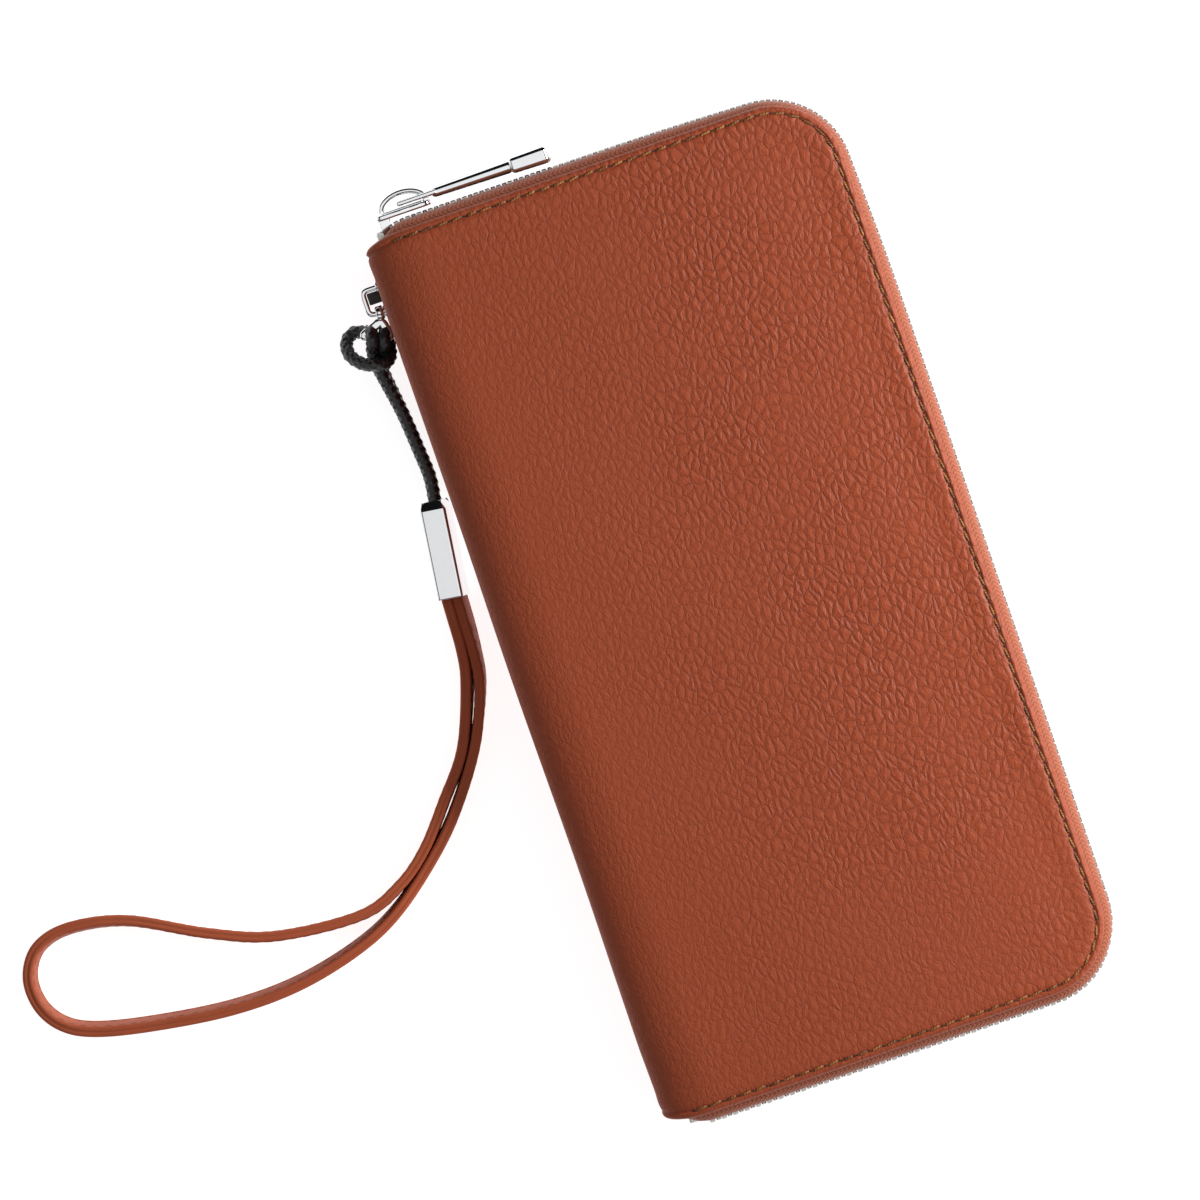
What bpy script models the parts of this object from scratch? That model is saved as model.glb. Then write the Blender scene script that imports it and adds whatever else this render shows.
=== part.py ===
"""Zip-around long wallet with a wrist strap, lying closed on its back cover.

Frame: metres, +Z up. The origin is on the outer face of the back cover, at the middle of the
wallet. +X runs from the spine to the long zip side, +Y to the short side where the slider
stands, and +Z to the front cover. The strap lies on the same surface, beside the spine.
"""

import math

import bmesh
import bpy
from mathutils import Matrix, Vector
from mathutils.geometry import interpolate_bezier

MM = 0.001
GAP = 0.3                       # running gap between neighbouring solids, in millimetres

# Driving dimensions, in millimetres
HALF_LENGTH = 99.0              # to the outer face of the zip tape
HALF_WIDTH = 51.0               # spine face to the outer face of the zip tape, halved
THICKNESS = 24.0
CORNER_RADIUS = 17.0            # of the zip tape, seen from the front
SPINE_RADIUS = 5.0              # of the leather where it turns round the spine
SPINE_CORNER = 4.0              # of the leather's two corners at the spine, seen from the front
LEATHER_SETBACK = 1.8           # leather edge behind the face of the tape

LEATHER = 1.4
BOARD = 0.8
LINING = 0.6
TAPE = 0.6
CARD_LEATHER = 0.5

TEETH_WIDTH = 2.0               # of one row, across the chain
TEETH_DEPTH = 2.4               # through the chain
CHAIN_SLIT = 1.0                # between the two rows
CHAIN_START = -47.0             # where the rows begin, beside the spine

BACK_BOARD_Z = LEATHER + GAP
BACK_LINING_Z = BACK_BOARD_Z + BOARD + GAP
BACK_CARDS_Z = BACK_LINING_Z + LINING + GAP
CARD_STEP = CARD_LEATHER + GAP
CARD_EDGES = (38.0, 28.0, 18.0, 6.0)
CARD_START = -40.0
CARD_HALF_LENGTH = 88.0

PAGE_Z = 8.2
PAGE_TOP_Z = 11.6
PAGE_SKIN = 0.7
PAGE_START = -44.0
PAGE_END = 40.0
PAGE_HALF_LENGTH = 68.0
COIN_CHAIN_X = 34.2
COIN_CHAIN_Z = 11.2
COIN_SCALE = 0.75               # the coin zip against the main zip

GUSSET = 0.4
GUSSET_EDGE_Y = 93.0
GUSSET_START = -42.0
GUSSET_END = 6.0
GUSSET_DEPTH = (3.0, 18.0)      # of the pleat, beside the spine and at its open end

FOLD_AXIS = Vector((-49.5, 0.0, 22.5))
PAGE_AXIS = Vector((-46.5, 0.0, 10.0))
SLIDER_AT = Vector((-41.0, HALF_LENGTH - TAPE / 2, THICKNESS / 2))
PULLER_PIVOT_HEIGHT = 3.75      # above the middle of the chain

LOOP_WIRE = 0.6                 # radius
LOOP_Z = 9.4
LOOP_OUT_X = -54.8
LOOP_LOW_Y = 82.3
LOOP_HIGH_Y = 87.6
STRAP_PIVOT = Vector((-52.6, LOOP_LOW_Y, LOOP_Z))
KNUCKLE = (0.9, 1.5, 1.6)       # bore and outer radius, and length, of the link's knuckle

CORD_RADIUS = 1.35
STRAP_THICKNESS = 1.9
STRAP_WIDTH = 6.5
STRAP_BOTTOM = 0.3

ARC_STEPS = 8

PART = bpy.data.collections.new("zip_wallet")
HELPERS = bpy.data.collections.new("cutters")


def clear_scene():
    for item in list(bpy.data.objects):
        bpy.data.objects.remove(item, do_unlink=True)
    for collection in (PART, HELPERS):
        bpy.context.scene.collection.children.link(collection)


def finish(name, color, roughness, metallic=0.0):
    """A plain Principled material."""
    made = bpy.data.materials.new(name)
    made.use_nodes = True
    shader = made.node_tree.nodes["Principled BSDF"]
    shader.inputs["Base Color"].default_value = (*color, 1.0)
    shader.inputs["Roughness"].default_value = roughness
    shader.inputs["Metallic"].default_value = metallic
    made.diffuse_color = (*color, 1.0)
    return made


PEBBLED = finish("pebbled_leather", (0.27, 0.062, 0.03), 0.5)
SMOOTH = finish("smooth_leather", (0.2, 0.055, 0.03), 0.45)
CARDS = finish("card_leather", (0.23, 0.06, 0.032), 0.5)
CLOTH = finish("lining_cloth", (0.16, 0.07, 0.045), 0.85)
STIFFENER = finish("stiffener_board", (0.5, 0.42, 0.32), 0.9)
WEB = finish("zip_tape", (0.55, 0.17, 0.08), 0.8)
TEETH = finish("zip_teeth", (0.75, 0.76, 0.78), 0.25, 1.0)
CHROME = finish("chrome", (0.85, 0.86, 0.88), 0.08, 1.0)
CORD = finish("waxed_cord", (0.012, 0.013, 0.015), 0.6)


def add_object(name, data, look=None, collection=PART):
    made = bpy.data.objects.new(name, data)
    collection.objects.link(made)
    if look is not None:
        data.materials.append(look)
    return made


def hide(helper):
    """Keep a cutter out of the model."""
    for collection in list(helper.users_collection):
        collection.objects.unlink(helper)
    HELPERS.objects.link(helper)
    helper.hide_render = True
    helper.display_type = "WIRE"


def combine(target, cutter, operation):
    hide(cutter)
    modifier = target.modifiers.new(operation.lower(), "BOOLEAN")
    modifier.operation = operation
    modifier.solver = "EXACT"
    modifier.object = cutter


def evaluated_mesh(source):
    """The object's modifiers applied, as a new mesh object of the same name."""
    bpy.context.view_layer.update()
    shaped = source.evaluated_get(bpy.context.evaluated_depsgraph_get())
    mesh = bpy.data.meshes.new_from_object(shaped)
    welded = bmesh.new()
    welded.from_mesh(mesh)
    bmesh.ops.remove_doubles(welded, verts=welded.verts, dist=0.000005)
    welded.to_mesh(mesh)
    welded.free()
    name, place = source.name, source.matrix_basis.copy()
    collection = source.users_collection[0]
    bpy.data.objects.remove(source, do_unlink=True)
    made = bpy.data.objects.new(name, mesh)
    made.matrix_basis = place
    collection.objects.link(made)
    return made


def box(name, low, high, look=None, collection=PART):
    """A box between two corners given in millimetres."""
    low, high = Vector(low) * MM, Vector(high) * MM
    shape = bmesh.new()
    bmesh.ops.create_cube(shape, size=1.0, matrix=Matrix.Diagonal((*(high - low), 1.0)))
    mesh = bpy.data.meshes.new(name)
    shape.to_mesh(mesh)
    shape.free()
    made = add_object(name, mesh, look, collection)
    made.location = (low + high) / 2
    return made


def arc(centre, radius, start, end, steps=ARC_STEPS):
    """Points of an arc in a plane; angles in degrees."""
    turn = [math.radians(start + (end - start) * step / steps) for step in range(steps + 1)]
    return [(centre[0] + radius * math.cos(a), centre[1] + radius * math.sin(a)) for a in turn]


def rounded_outline(low_x, high_x, half_y, low_radius, high_radius):
    """Plan of a plate: its corners at low X and high X have their own radii."""
    points = arc((high_x - high_radius, half_y - high_radius), high_radius, 90, 0)
    points += arc((high_x - high_radius, high_radius - half_y), high_radius, 0, -90)
    points += arc((low_x + low_radius, low_radius - half_y), low_radius, -90, -180, 4)
    points += arc((low_x + low_radius, half_y - low_radius), low_radius, 180, 90, 4)
    return points


def plate(name, outline, low_z, high_z, look=None):
    """A flat outline in plan, between two heights."""
    curve = bpy.data.curves.new(name, "CURVE")
    curve.dimensions = "2D"
    curve.fill_mode = "BOTH"
    curve.extrude = (high_z - low_z) / 2 * MM
    spline = curve.splines.new("POLY")
    spline.points.add(len(outline) - 1)
    for point, (x, y) in zip(spline.points, outline):
        point.co = (x * MM, y * MM, 0.0, 1.0)
    spline.use_cyclic_u = True
    curve.render_resolution_u = 0
    made = add_object(name, curve, look)
    made.location.z = (low_z + high_z) / 2 * MM
    return made


def sheet(name, rows, thickness, look):
    """A surface through rows of points, made solid about its middle."""
    mesh = bpy.data.meshes.new(name)
    shape = bmesh.new()
    grid = [[shape.verts.new(Vector(point) * MM) for point in row] for row in rows]
    for near, far in zip(grid, grid[1:]):
        for index in range(len(near) - 1):
            shape.faces.new((near[index], near[index + 1], far[index + 1], far[index]))
    bmesh.ops.recalc_face_normals(shape, faces=shape.faces)
    shape.to_mesh(mesh)
    shape.free()
    made = add_object(name, mesh, look)
    solid = made.modifiers.new("thickness", "SOLIDIFY")
    solid.thickness = thickness * MM
    solid.offset = 0.0
    solid.use_even_offset = True
    return made


def tube(name, points, radius, look, cyclic=False, sides=2):
    """A round bar through points given in millimetres."""
    curve = bpy.data.curves.new(name, "CURVE")
    curve.dimensions = "3D"
    curve.bevel_depth = radius * MM
    curve.bevel_resolution = sides
    curve.use_fill_caps = not cyclic
    curve.render_resolution_u = 0
    spline = curve.splines.new("POLY")
    spline.points.add(len(points) - 1)
    for point, place in zip(spline.points, points):
        point.co = (*(Vector(place) * MM), 1.0)
    spline.use_cyclic_u = cyclic
    return add_object(name, curve, look)


def smooth_route(points, steps):
    """Points on a smooth curve through a few hand-chosen ones."""
    route = [Vector(point) for point in points]
    ends = [route[0] * 2 - route[1], *route, route[-1] * 2 - route[-2]]
    smooth = []
    for before, start, end, after in zip(ends, ends[1:], ends[2:], ends[3:]):
        leave = start + (end - before) / 6
        arrive = end - (after - start) / 6
        smooth += interpolate_bezier(start, leave, arrive, end, steps + 1)[:-1]
    return smooth + [route[-1]]


def mirrored(z):
    """The height on the front cover that matches a height on the back cover."""
    return THICKNESS - z


# ---------------------------------------------------------------- covers and spine

def leather_prism(name):
    """The plan of the leather shell, as a tall block that trims its sheets."""
    outline = rounded_outline(-HALF_WIDTH - 0.01, HALF_WIDTH - LEATHER_SETBACK,
                              HALF_LENGTH - LEATHER_SETBACK, SPINE_CORNER,
                              CORNER_RADIUS - LEATHER_SETBACK)
    return evaluated_mesh(plate(name, outline, -5.0, THICKNESS + 5.0))


def spine_arc(centre_z, start, end):
    """The middle of the leather where it turns at the spine, in X and Z."""
    centre = (SPINE_RADIUS - HALF_WIDTH, centre_z)
    return arc(centre, SPINE_RADIUS - LEATHER / 2, start, end, max(2, round(abs(end - start) / 15)))


def wrapped_leather(name, profile):
    """Leather with a bent section, cut to the wallet's plan."""
    reach = HALF_LENGTH + 3.0
    rows = [[(x, y, z) for x, z in profile] for y in (-reach, reach)]
    made = sheet(name, rows, LEATHER, PEBBLED)
    combine(made, leather_prism(name + "_plan"), "INTERSECT")
    return made


def make_leather():
    """The outer leather: one piece for back cover and spine, one for the front cover."""
    edge = HALF_WIDTH + 3.0
    low, high = SPINE_RADIUS, THICKNESS - SPINE_RADIUS
    middle = LEATHER / 2
    seam = 2.0                  # degrees kept free on each side of the fold line
    back = [(edge, middle)] + spine_arc(low, -90, -180) + spine_arc(high, 180, 135 + seam)
    front = spine_arc(high, 135 - seam, 90) + [(edge, mirrored(middle))]
    wrapped = wrapped_leather("leather_back_and_spine", back)
    for side in (LOOP_LOW_Y, LOOP_HIGH_Y):
        hole = box("loop_hole", (-52.0, side - 1.0, LOOP_Z - 1.0), (-49.0, side + 1.0, LOOP_Z + 1.0))
        combine(wrapped, hole, "DIFFERENCE")
    wrapped_leather("leather_front", front)


def make_cover_layers():
    """Board and lining inside each cover, and the same two inside the spine."""
    board = rounded_outline(-44.5, 40.5, 88.5, 2.0, 8.0)
    lining = rounded_outline(-45.5, 48.6, 96.0, 2.0, 14.0)
    for cover, height in (("back", lambda z: z), ("front", mirrored)):
        for layer, outline, start, depth, look in (
                ("board", board, BACK_BOARD_Z, BOARD, STIFFENER),
                ("lining", lining, BACK_LINING_Z, LINING, CLOTH)):
            low, high = sorted((height(start), height(start + depth)))
            plate(f"{layer}_{cover}", outline, low, high, look)
    wall = -HALF_WIDTH + LEATHER + GAP
    box("board_spine", (wall, -94.0, 6.0), (wall + BOARD, 94.0, 17.5), STIFFENER)
    wall += BOARD + GAP
    box("lining_spine", (wall, -95.5, 4.2), (wall + LINING, 95.5, 18.0), CLOTH)


def make_card_slots():
    """Overlapping card slots on each cover, which open towards the long zip side."""
    for cover, height in (("back", lambda z: z), ("front", mirrored)):
        for row, edge in enumerate(CARD_EDGES):
            start = BACK_CARDS_Z + row * CARD_STEP
            low, high = sorted((height(start), height(start + CARD_LEATHER)))
            outline = rounded_outline(CARD_START, edge, CARD_HALF_LENGTH, 2.0, 2.0)
            plate(f"card_slot_{cover}_{row + 1}", outline, low, high, CARDS)


def make_gussets():
    """A pleat at each short end, which opens as a fan between the covers."""
    low = BACK_CARDS_Z + len(CARD_EDGES) * CARD_STEP + 0.3
    high = mirrored(low)
    for end, side in (("slider_end", 1), ("stop_end", -1)):
        rows = []
        for x, depth in zip((GUSSET_START, GUSSET_END), GUSSET_DEPTH):
            edge, fold = side * GUSSET_EDGE_Y, side * (GUSSET_EDGE_Y - depth)
            rows.append([(x, edge, low), (x, fold, THICKNESS / 2), (x, edge, high)])
        sheet(f"gusset_{end}", rows, GUSSET, CLOTH)


# ---------------------------------------------------------------- main zip

def zip_run(inset, start, end=None):
    """Plan of the zip: the slider end, the long side, then the stop end, as one run."""
    end = start if end is None else end
    x, y, radius = HALF_WIDTH - inset, HALF_LENGTH - inset, CORNER_RADIUS - inset
    points = [(start, y)]
    points += arc((x - radius, y - radius), radius, 90, 0)
    points += arc((x - radius, radius - y), radius, 0, -90)
    return points + [(end, -y)]


def swept_strip(name, section, thickness, look, start, end=None, slope=0.0):
    """A strip round the zip's run; the section's points are (inset, height).

    The slope cuts its ends back towards the inside, clear of the leather's bend.
    """
    rows = [[(x, y, z) for x, y in zip_run(inset, start + slope * inset, end)] for inset, z in section]
    return sheet(name, rows, thickness, look)


def make_tapes():
    """Each tape is sewn under the leather's edge and turns out of it to meet the other."""
    face = TAPE / 2
    row_edge = (THICKNESS - CHAIN_SLIT) / 2 - TEETH_WIDTH - GAP
    low = BACK_BOARD_Z + TAPE / 2 + 0.1
    section = [(8.5, low), (1.5, low), (face + 0.25, low + 0.5), (face, low + 1.6), (face, row_edge)]
    start = CHAIN_START - 1.5
    swept_strip("zip_tape_back", section, TAPE, WEB, start, slope=0.5)
    raised = [(inset, mirrored(z)) for inset, z in section]
    swept_strip("zip_tape_front", raised, TAPE, WEB, start, slope=0.5)


def make_teeth():
    """One row of teeth on each tape, with the stops that end them."""
    middle = THICKNESS / 2
    near, far = CHAIN_SLIT / 2, CHAIN_SLIT / 2 + TEETH_WIDTH
    depth_low = HALF_LENGTH - TAPE / 2 - TEETH_DEPTH / 2
    for cover, side in (("back", -1), ("front", 1)):
        section = [(TAPE / 2, middle + side * near), (TAPE / 2, middle + side * far)]
        swept_strip(f"zip_teeth_{cover}", section, TEETH_DEPTH, TEETH, CHAIN_START, -43.0)
        low, high = sorted((middle + side * near, middle + side * far))
        box(f"top_stop_{cover}", (CHAIN_START - 1.6, depth_low, low),
            (CHAIN_START - GAP, depth_low + TEETH_DEPTH, high), TEETH)
    box("bottom_stop", (CHAIN_START, -depth_low - TEETH_DEPTH, middle - far),
        (-43.0 - GAP, -depth_low, middle + far), TEETH)


def slider_frame(origin, along, out):
    """Where a slider stands: its travel, the way its puller faces, and across the chain."""
    along, out = Vector(along), Vector(out)
    across = along.cross(out)
    turn = Matrix((along, out, across)).transposed().to_4x4()
    return Matrix.Translation(Vector(origin) * MM) @ turn


def placed(made, frame, scale):
    made.matrix_basis = frame @ Matrix.Scale(scale, 4) @ made.matrix_basis
    return made


def make_slider(name, frame, scale):
    """Two plates joined by the post that parts the rows."""
    body = box(name, (-6.0, 1.5, -4.5), (6.0, 2.7, 4.5), CHROME)
    inner = box(name + "_inner", (-6.0, -2.7, -4.5), (6.0, -1.5, 4.5))
    post = box(name + "_post", (-5.6, -2.0, -0.2), (-3.6, 2.0, 0.2))
    for piece in (body, inner, post):
        placed(piece, frame, scale)
    combine(body, post, "UNION")
    combine(body, inner, "UNION")
    return evaluated_mesh(body)


def make_crown(name, frame, scale):
    """The arch on the slider that holds the puller."""
    rise, reach, foot = 3.0, 4.9, 2.7 + GAP / scale
    bend = [(0.4 + x, foot + y) for x, y in arc((0, 0), 1.0, 180, 0, 10)]
    rows = []
    for z in (-1.5, 1.5):
        rows.append([(0.4 + (x - 0.4) * reach, foot + (y - foot) * rise, z) for x, y in bend])
    return placed(sheet(name, rows, 1.3, CHROME), frame, scale)


def make_puller(name, frame, scale, length):
    """A long bar with a fork and a cross pin, which turns inside the crown."""
    height = PULLER_PIVOT_HEIGHT
    plan = [(6.8, -3.2), (length - 7.4, -3.2), (length - 6.6, -3.7), (length - 1.4, -3.7),
            (length, -2.4), (length, 2.4), (length - 1.4, 3.7), (length - 6.6, 3.7),
            (length - 7.4, 3.2), (6.8, 3.2)]
    bar = evaluated_mesh(plate(name, plan, -1.0, 1.0, CHROME))
    stand = Matrix.Rotation(-math.pi / 2, 4, "X")
    bar.matrix_basis = Matrix.Translation((0, height * MM, 0)) @ stand
    parts = []
    for side in (-1, 1):
        low, high = sorted((side * 1.9, side * 3.0))
        parts.append(box(f"{name}_arm", (-0.6, height - 0.6, low), (7.4, height + 0.6, high)))
    pin = tube(f"{name}_pin", [(0, height, -2.4), (0, height, 2.4)], 0.6, None)
    parts.append(evaluated_mesh(pin))
    placed(bar, frame, scale)
    for piece in parts:
        placed(piece, frame, scale)
        combine(bar, piece, "UNION")
    return bar


def make_main_slider():
    frame = slider_frame(SLIDER_AT, (1, 0, 0), (0, 1, 0))
    make_slider("slider_body", frame, 1.0)
    make_crown("slider_crown", frame, 1.0)
    make_puller("slider_puller", frame, 1.0, 32.7)


# ---------------------------------------------------------------- coin pocket page

def make_coin_page():
    """A zipped coin pocket between the covers, which turns like the page of a book."""
    panel_end = 27.0
    outline = rounded_outline(PAGE_START, PAGE_END, PAGE_HALF_LENGTH, 2.0, 6.0)
    plate("coin_panel_back", outline, PAGE_Z, PAGE_Z + PAGE_SKIN, CARDS)
    outline = rounded_outline(PAGE_START, panel_end, PAGE_HALF_LENGTH, 2.0, 0.5)
    plate("coin_panel_front", outline, PAGE_TOP_Z - PAGE_SKIN, PAGE_TOP_Z, CARDS)
    box("coin_spine_strip", (PAGE_START, -PAGE_HALF_LENGTH + 3, PAGE_Z + PAGE_SKIN + 0.3),
        (PAGE_START + 1.2, PAGE_HALF_LENGTH - 3, PAGE_TOP_Z - PAGE_SKIN - 0.3), CLOTH)
    reach = PAGE_HALF_LENGTH - 6.0
    slit, width = CHAIN_SLIT * COIN_SCALE / 2, TEETH_WIDTH * COIN_SCALE
    depth, tape = TEETH_DEPTH * COIN_SCALE / 2, TAPE * COIN_SCALE / 2
    for row, side, edge in (("inner", -1, panel_end + GAP), ("outer", 1, PAGE_END - 0.5)):
        near, far = COIN_CHAIN_X + side * slit, COIN_CHAIN_X + side * (slit + width)
        low, high = sorted((near, far))
        box(f"coin_teeth_{row}", (low, -reach, COIN_CHAIN_Z - depth), (high, reach, COIN_CHAIN_Z + depth),
            TEETH)
        low, high = sorted((far + side * GAP, edge))
        box(f"coin_tape_{row}", (low, -reach - 4, COIN_CHAIN_Z - tape),
            (high, reach + 4, COIN_CHAIN_Z + tape), WEB)
    frame = slider_frame((COIN_CHAIN_X, reach - 6.0, COIN_CHAIN_Z), (0, -1, 0), (0, 0, 1))
    make_slider("coin_slider", frame, COIN_SCALE)
    make_crown("coin_slider_crown", frame, COIN_SCALE)
    make_puller("coin_slider_puller", frame, COIN_SCALE, 22.0)


# ---------------------------------------------------------------- wrist strap

LINK_APEX = Vector((-52.9, 80.6, LOOP_Z))
LINK_DOWN = Vector((-0.3256, -0.9455, 0.0))
LINK_SIDE = Vector((0.9455, -0.3256, 0.0))
LINK_LENGTH = 3.3               # apex to the bar that the cord is tied to
LINK_REACH = (2.1, -3.9)        # the bar's two ends, to either side of the apex
HITCH_AT = Vector((-56.4, 75.0, 7.4))
HITCH_HALF_SIZE = (4.7, 1.9, 3.2)
FERRULE_TOP = Vector((-54.9, 40.1, 4.75))
FERRULE_END = Vector((-57.4, 21.0, 4.75))
FERRULE_SIZE = (5.0, 8.2)
FERRULE_ROLL = math.radians(10.0)

CORD_ROUTE = [(-56.0, 72.2, 6.7), (-55.0, 61.0, 5.6), (-54.3, 52.2, 4.9), (-54.0, 46.3, 4.6),
              (-54.7, 41.0, 4.6)]
STRAP_ROUTE = [(-58.6, 20.4), (-59.4, 10.2), (-61.0, 2.4), (-66.2, -9.8), (-73.2, -18.6), (-80.5, -27.0),
               (-87.9, -32.4), (-97.7, -35.6), (-115.7, -33.9), (-129.0, -28.7), (-143.9, -20.8),
               (-155.7, -18.3), (-163.2, -19.9), (-167.0, -25.0), (-167.0, -31.3), (-163.9, -36.5),
               (-158.0, -39.9), (-146.4, -42.7), (-129.5, -45.0), (-114.3, -44.7), (-99.6, -41.4),
               (-89.1, -36.4), (-77.4, -27.1), (-69.9, -18.9), (-63.2, -9.2), (-58.2, 1.6), (-56.6, 9.4),
               (-56.0, 20.1)]


def make_spine_loop():
    """A square wire loop, whose two legs go through the spine's leather."""
    inside, bend = -49.7, 1.0
    points = [(inside, LOOP_HIGH_Y)]
    points += arc((LOOP_OUT_X + bend, LOOP_HIGH_Y - bend), bend, 90, 180, 4)
    points += arc((LOOP_OUT_X + bend, LOOP_LOW_Y + bend), bend, 180, 270, 4)
    points += [(inside, LOOP_LOW_Y)]
    tube("spine_loop", [(x, y, LOOP_Z) for x, y in points], LOOP_WIRE, CHROME)


def make_link():
    """A three-sided wire link, with a knuckle at its apex that turns on the loop's lower leg."""
    corners = [LINK_APEX] + [LINK_APEX + LINK_DOWN * LINK_LENGTH + LINK_SIDE * reach for reach in LINK_REACH]
    path = []
    for corner, before, after in zip(corners, corners[-1:] + corners, corners[1:] + corners):
        for step in range(5):
            enter = corner + (before - corner).normalized() * 0.9
            leave = corner + (after - corner).normalized() * 0.9
            path.append(enter.lerp(corner, step / 4).lerp(corner.lerp(leave, step / 4), step / 4))
    link = tube("swivel_link", path, 0.6, CHROME, cyclic=True)
    bore, outer, length = KNUCKLE
    ends = [STRAP_PIVOT + Vector((shift, 0, 0)) for shift in (-length / 2, length / 2)]
    past = [STRAP_PIVOT + Vector((shift, 0, 0)) for shift in (-length, length)]
    link = evaluated_mesh(link)
    combine(link, evaluated_mesh(tube("swivel_knuckle", ends, outer, CHROME)), "UNION")
    combine(link, evaluated_mesh(tube("swivel_bore", past, bore, CHROME)), "DIFFERENCE")


def make_hitch():
    """The knot that ties the cord to the link: one closed lump of its outer shape."""
    shape = bmesh.new()
    bmesh.ops.create_uvsphere(shape, u_segments=16, v_segments=10, radius=1.0)
    mesh = bpy.data.meshes.new("cord_hitch")
    shape.to_mesh(mesh)
    shape.free()
    made = add_object("cord_hitch", mesh, CORD)
    turn = Matrix((LINK_SIDE, LINK_DOWN, Vector((0, 0, 1)))).transposed().to_4x4()
    size = Matrix.Diagonal([half * MM for half in HITCH_HALF_SIZE] + [1.0])
    made.matrix_basis = Matrix.Translation(HITCH_AT * MM) @ turn @ size


def make_cord():
    """The doubled cord from the hitch to the ferrule: one run above the other."""
    for name, shift in (("cord_lower", -1.52), ("cord_upper", 1.52)):
        route = [Vector(point) + Vector((0, 0, shift)) for point in CORD_ROUTE]
        tube(name, smooth_route(route, 2), CORD_RADIUS, CORD)


def make_ferrule():
    """The metal sleeve that joins cord and strap, with a shallow pocket in each end."""
    along = (FERRULE_END - FERRULE_TOP).normalized()
    side = along.cross(Vector((0, 0, 1))).normalized()
    frame = Matrix((side, along, side.cross(along))).transposed().to_4x4()
    place = Matrix.Translation((FERRULE_TOP + FERRULE_END) / 2 * MM) @ frame
    place = place @ Matrix.Rotation(FERRULE_ROLL, 4, "Y")
    half = (FERRULE_END - FERRULE_TOP).length / 2
    wide, tall = FERRULE_SIZE[0] / 2, FERRULE_SIZE[1] / 2
    sleeve = box("ferrule", (-wide, -half, -tall), (wide, half, tall), CHROME)
    placed(sleeve, place, 1.0)
    edge = sleeve.modifiers.new("edges", "BEVEL")
    edge.width = 0.4 * MM
    edge.segments = 2
    for end in (-1, 1):
        low, high = sorted((end * (half - 1.6), end * (half + 1.0)))
        pocket = box("ferrule_pocket", (-wide + 0.6, low, -tall + 0.6), (wide - 0.6, high, tall - 0.6))
        combine(sleeve, placed(pocket, place, 1.0), "DIFFERENCE")


def make_strap():
    """The leather band, on its edge: out of the ferrule, round the loop and back."""
    route = smooth_route([(x, y, 0.0) for x, y in STRAP_ROUTE], 3)
    rows = [[(p.x, p.y, z) for p in route] for z in (STRAP_BOTTOM, STRAP_BOTTOM + STRAP_WIDTH)]
    sheet("wrist_strap", rows, STRAP_THICKNESS, SMOOTH)


# ---------------------------------------------------------------- joints

MOVING = {
    "front_fold": (FOLD_AXIS, ["leather_front", "board_front", "lining_front", "zip_tape_front",
                               "zip_teeth_front", "top_stop_front", "card_slot_front_1",
                               "card_slot_front_2", "card_slot_front_3", "card_slot_front_4"]),
    "page_turn": (PAGE_AXIS, ["coin_panel_back", "coin_panel_front", "coin_spine_strip", "coin_tape_inner",
                              "coin_tape_outer", "coin_teeth_inner", "coin_teeth_outer", "coin_slider",
                              "coin_slider_crown", "coin_slider_puller"]),
    "slider_travel": (SLIDER_AT, ["slider_body", "slider_crown"]),
    "puller_pivot": (SLIDER_AT + Vector((0.0, PULLER_PIVOT_HEIGHT, 0.0)), ["slider_puller"]),
    "strap_swing": (STRAP_PIVOT, ["swivel_link", "cord_hitch", "cord_lower", "cord_upper", "ferrule",
                                  "wrist_strap"]),
}


def hang_on_axes():
    """One empty on each joint's axis, as the parent of the pieces that move with it."""
    for joint, (place, names) in MOVING.items():
        axis = bpy.data.objects.new("axis_" + joint, None)
        axis.location = place * MM
        PART.objects.link(axis)
        for name in names:
            piece = bpy.data.objects[name]
            piece.parent = axis
            piece.matrix_parent_inverse = Matrix.Translation(-place * MM)


def shade_round_pieces():
    for made in PART.objects:
        if made.type == "MESH":
            made.data.shade_smooth()
            made.data.set_sharp_from_angle(angle=math.radians(35))


clear_scene()
make_leather()
make_cover_layers()
make_card_slots()
make_gussets()
make_tapes()
make_teeth()
make_main_slider()
make_coin_page()
make_spine_loop()
make_link()
make_hitch()
make_cord()
make_ferrule()
make_strap()
hang_on_axes()
shade_round_pieces()
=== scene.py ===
# %% [markdown]
# # A zip-around wallet in pebbled leather
#
# This notebook dresses a finished mechanical model. The frame already holds every solid piece of
# the wallet at its real size and knows how the pieces move. What is made here is what the eye
# meets: grained leather that turns round the spine, real stitches, a woven zip tape with metal
# teeth, polished fittings, a braided cord and a strap cut from smooth leather.

# %% Load the frame
import math

import bmesh
import bpy
import numpy as np
from mathutils import Matrix, Vector


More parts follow.
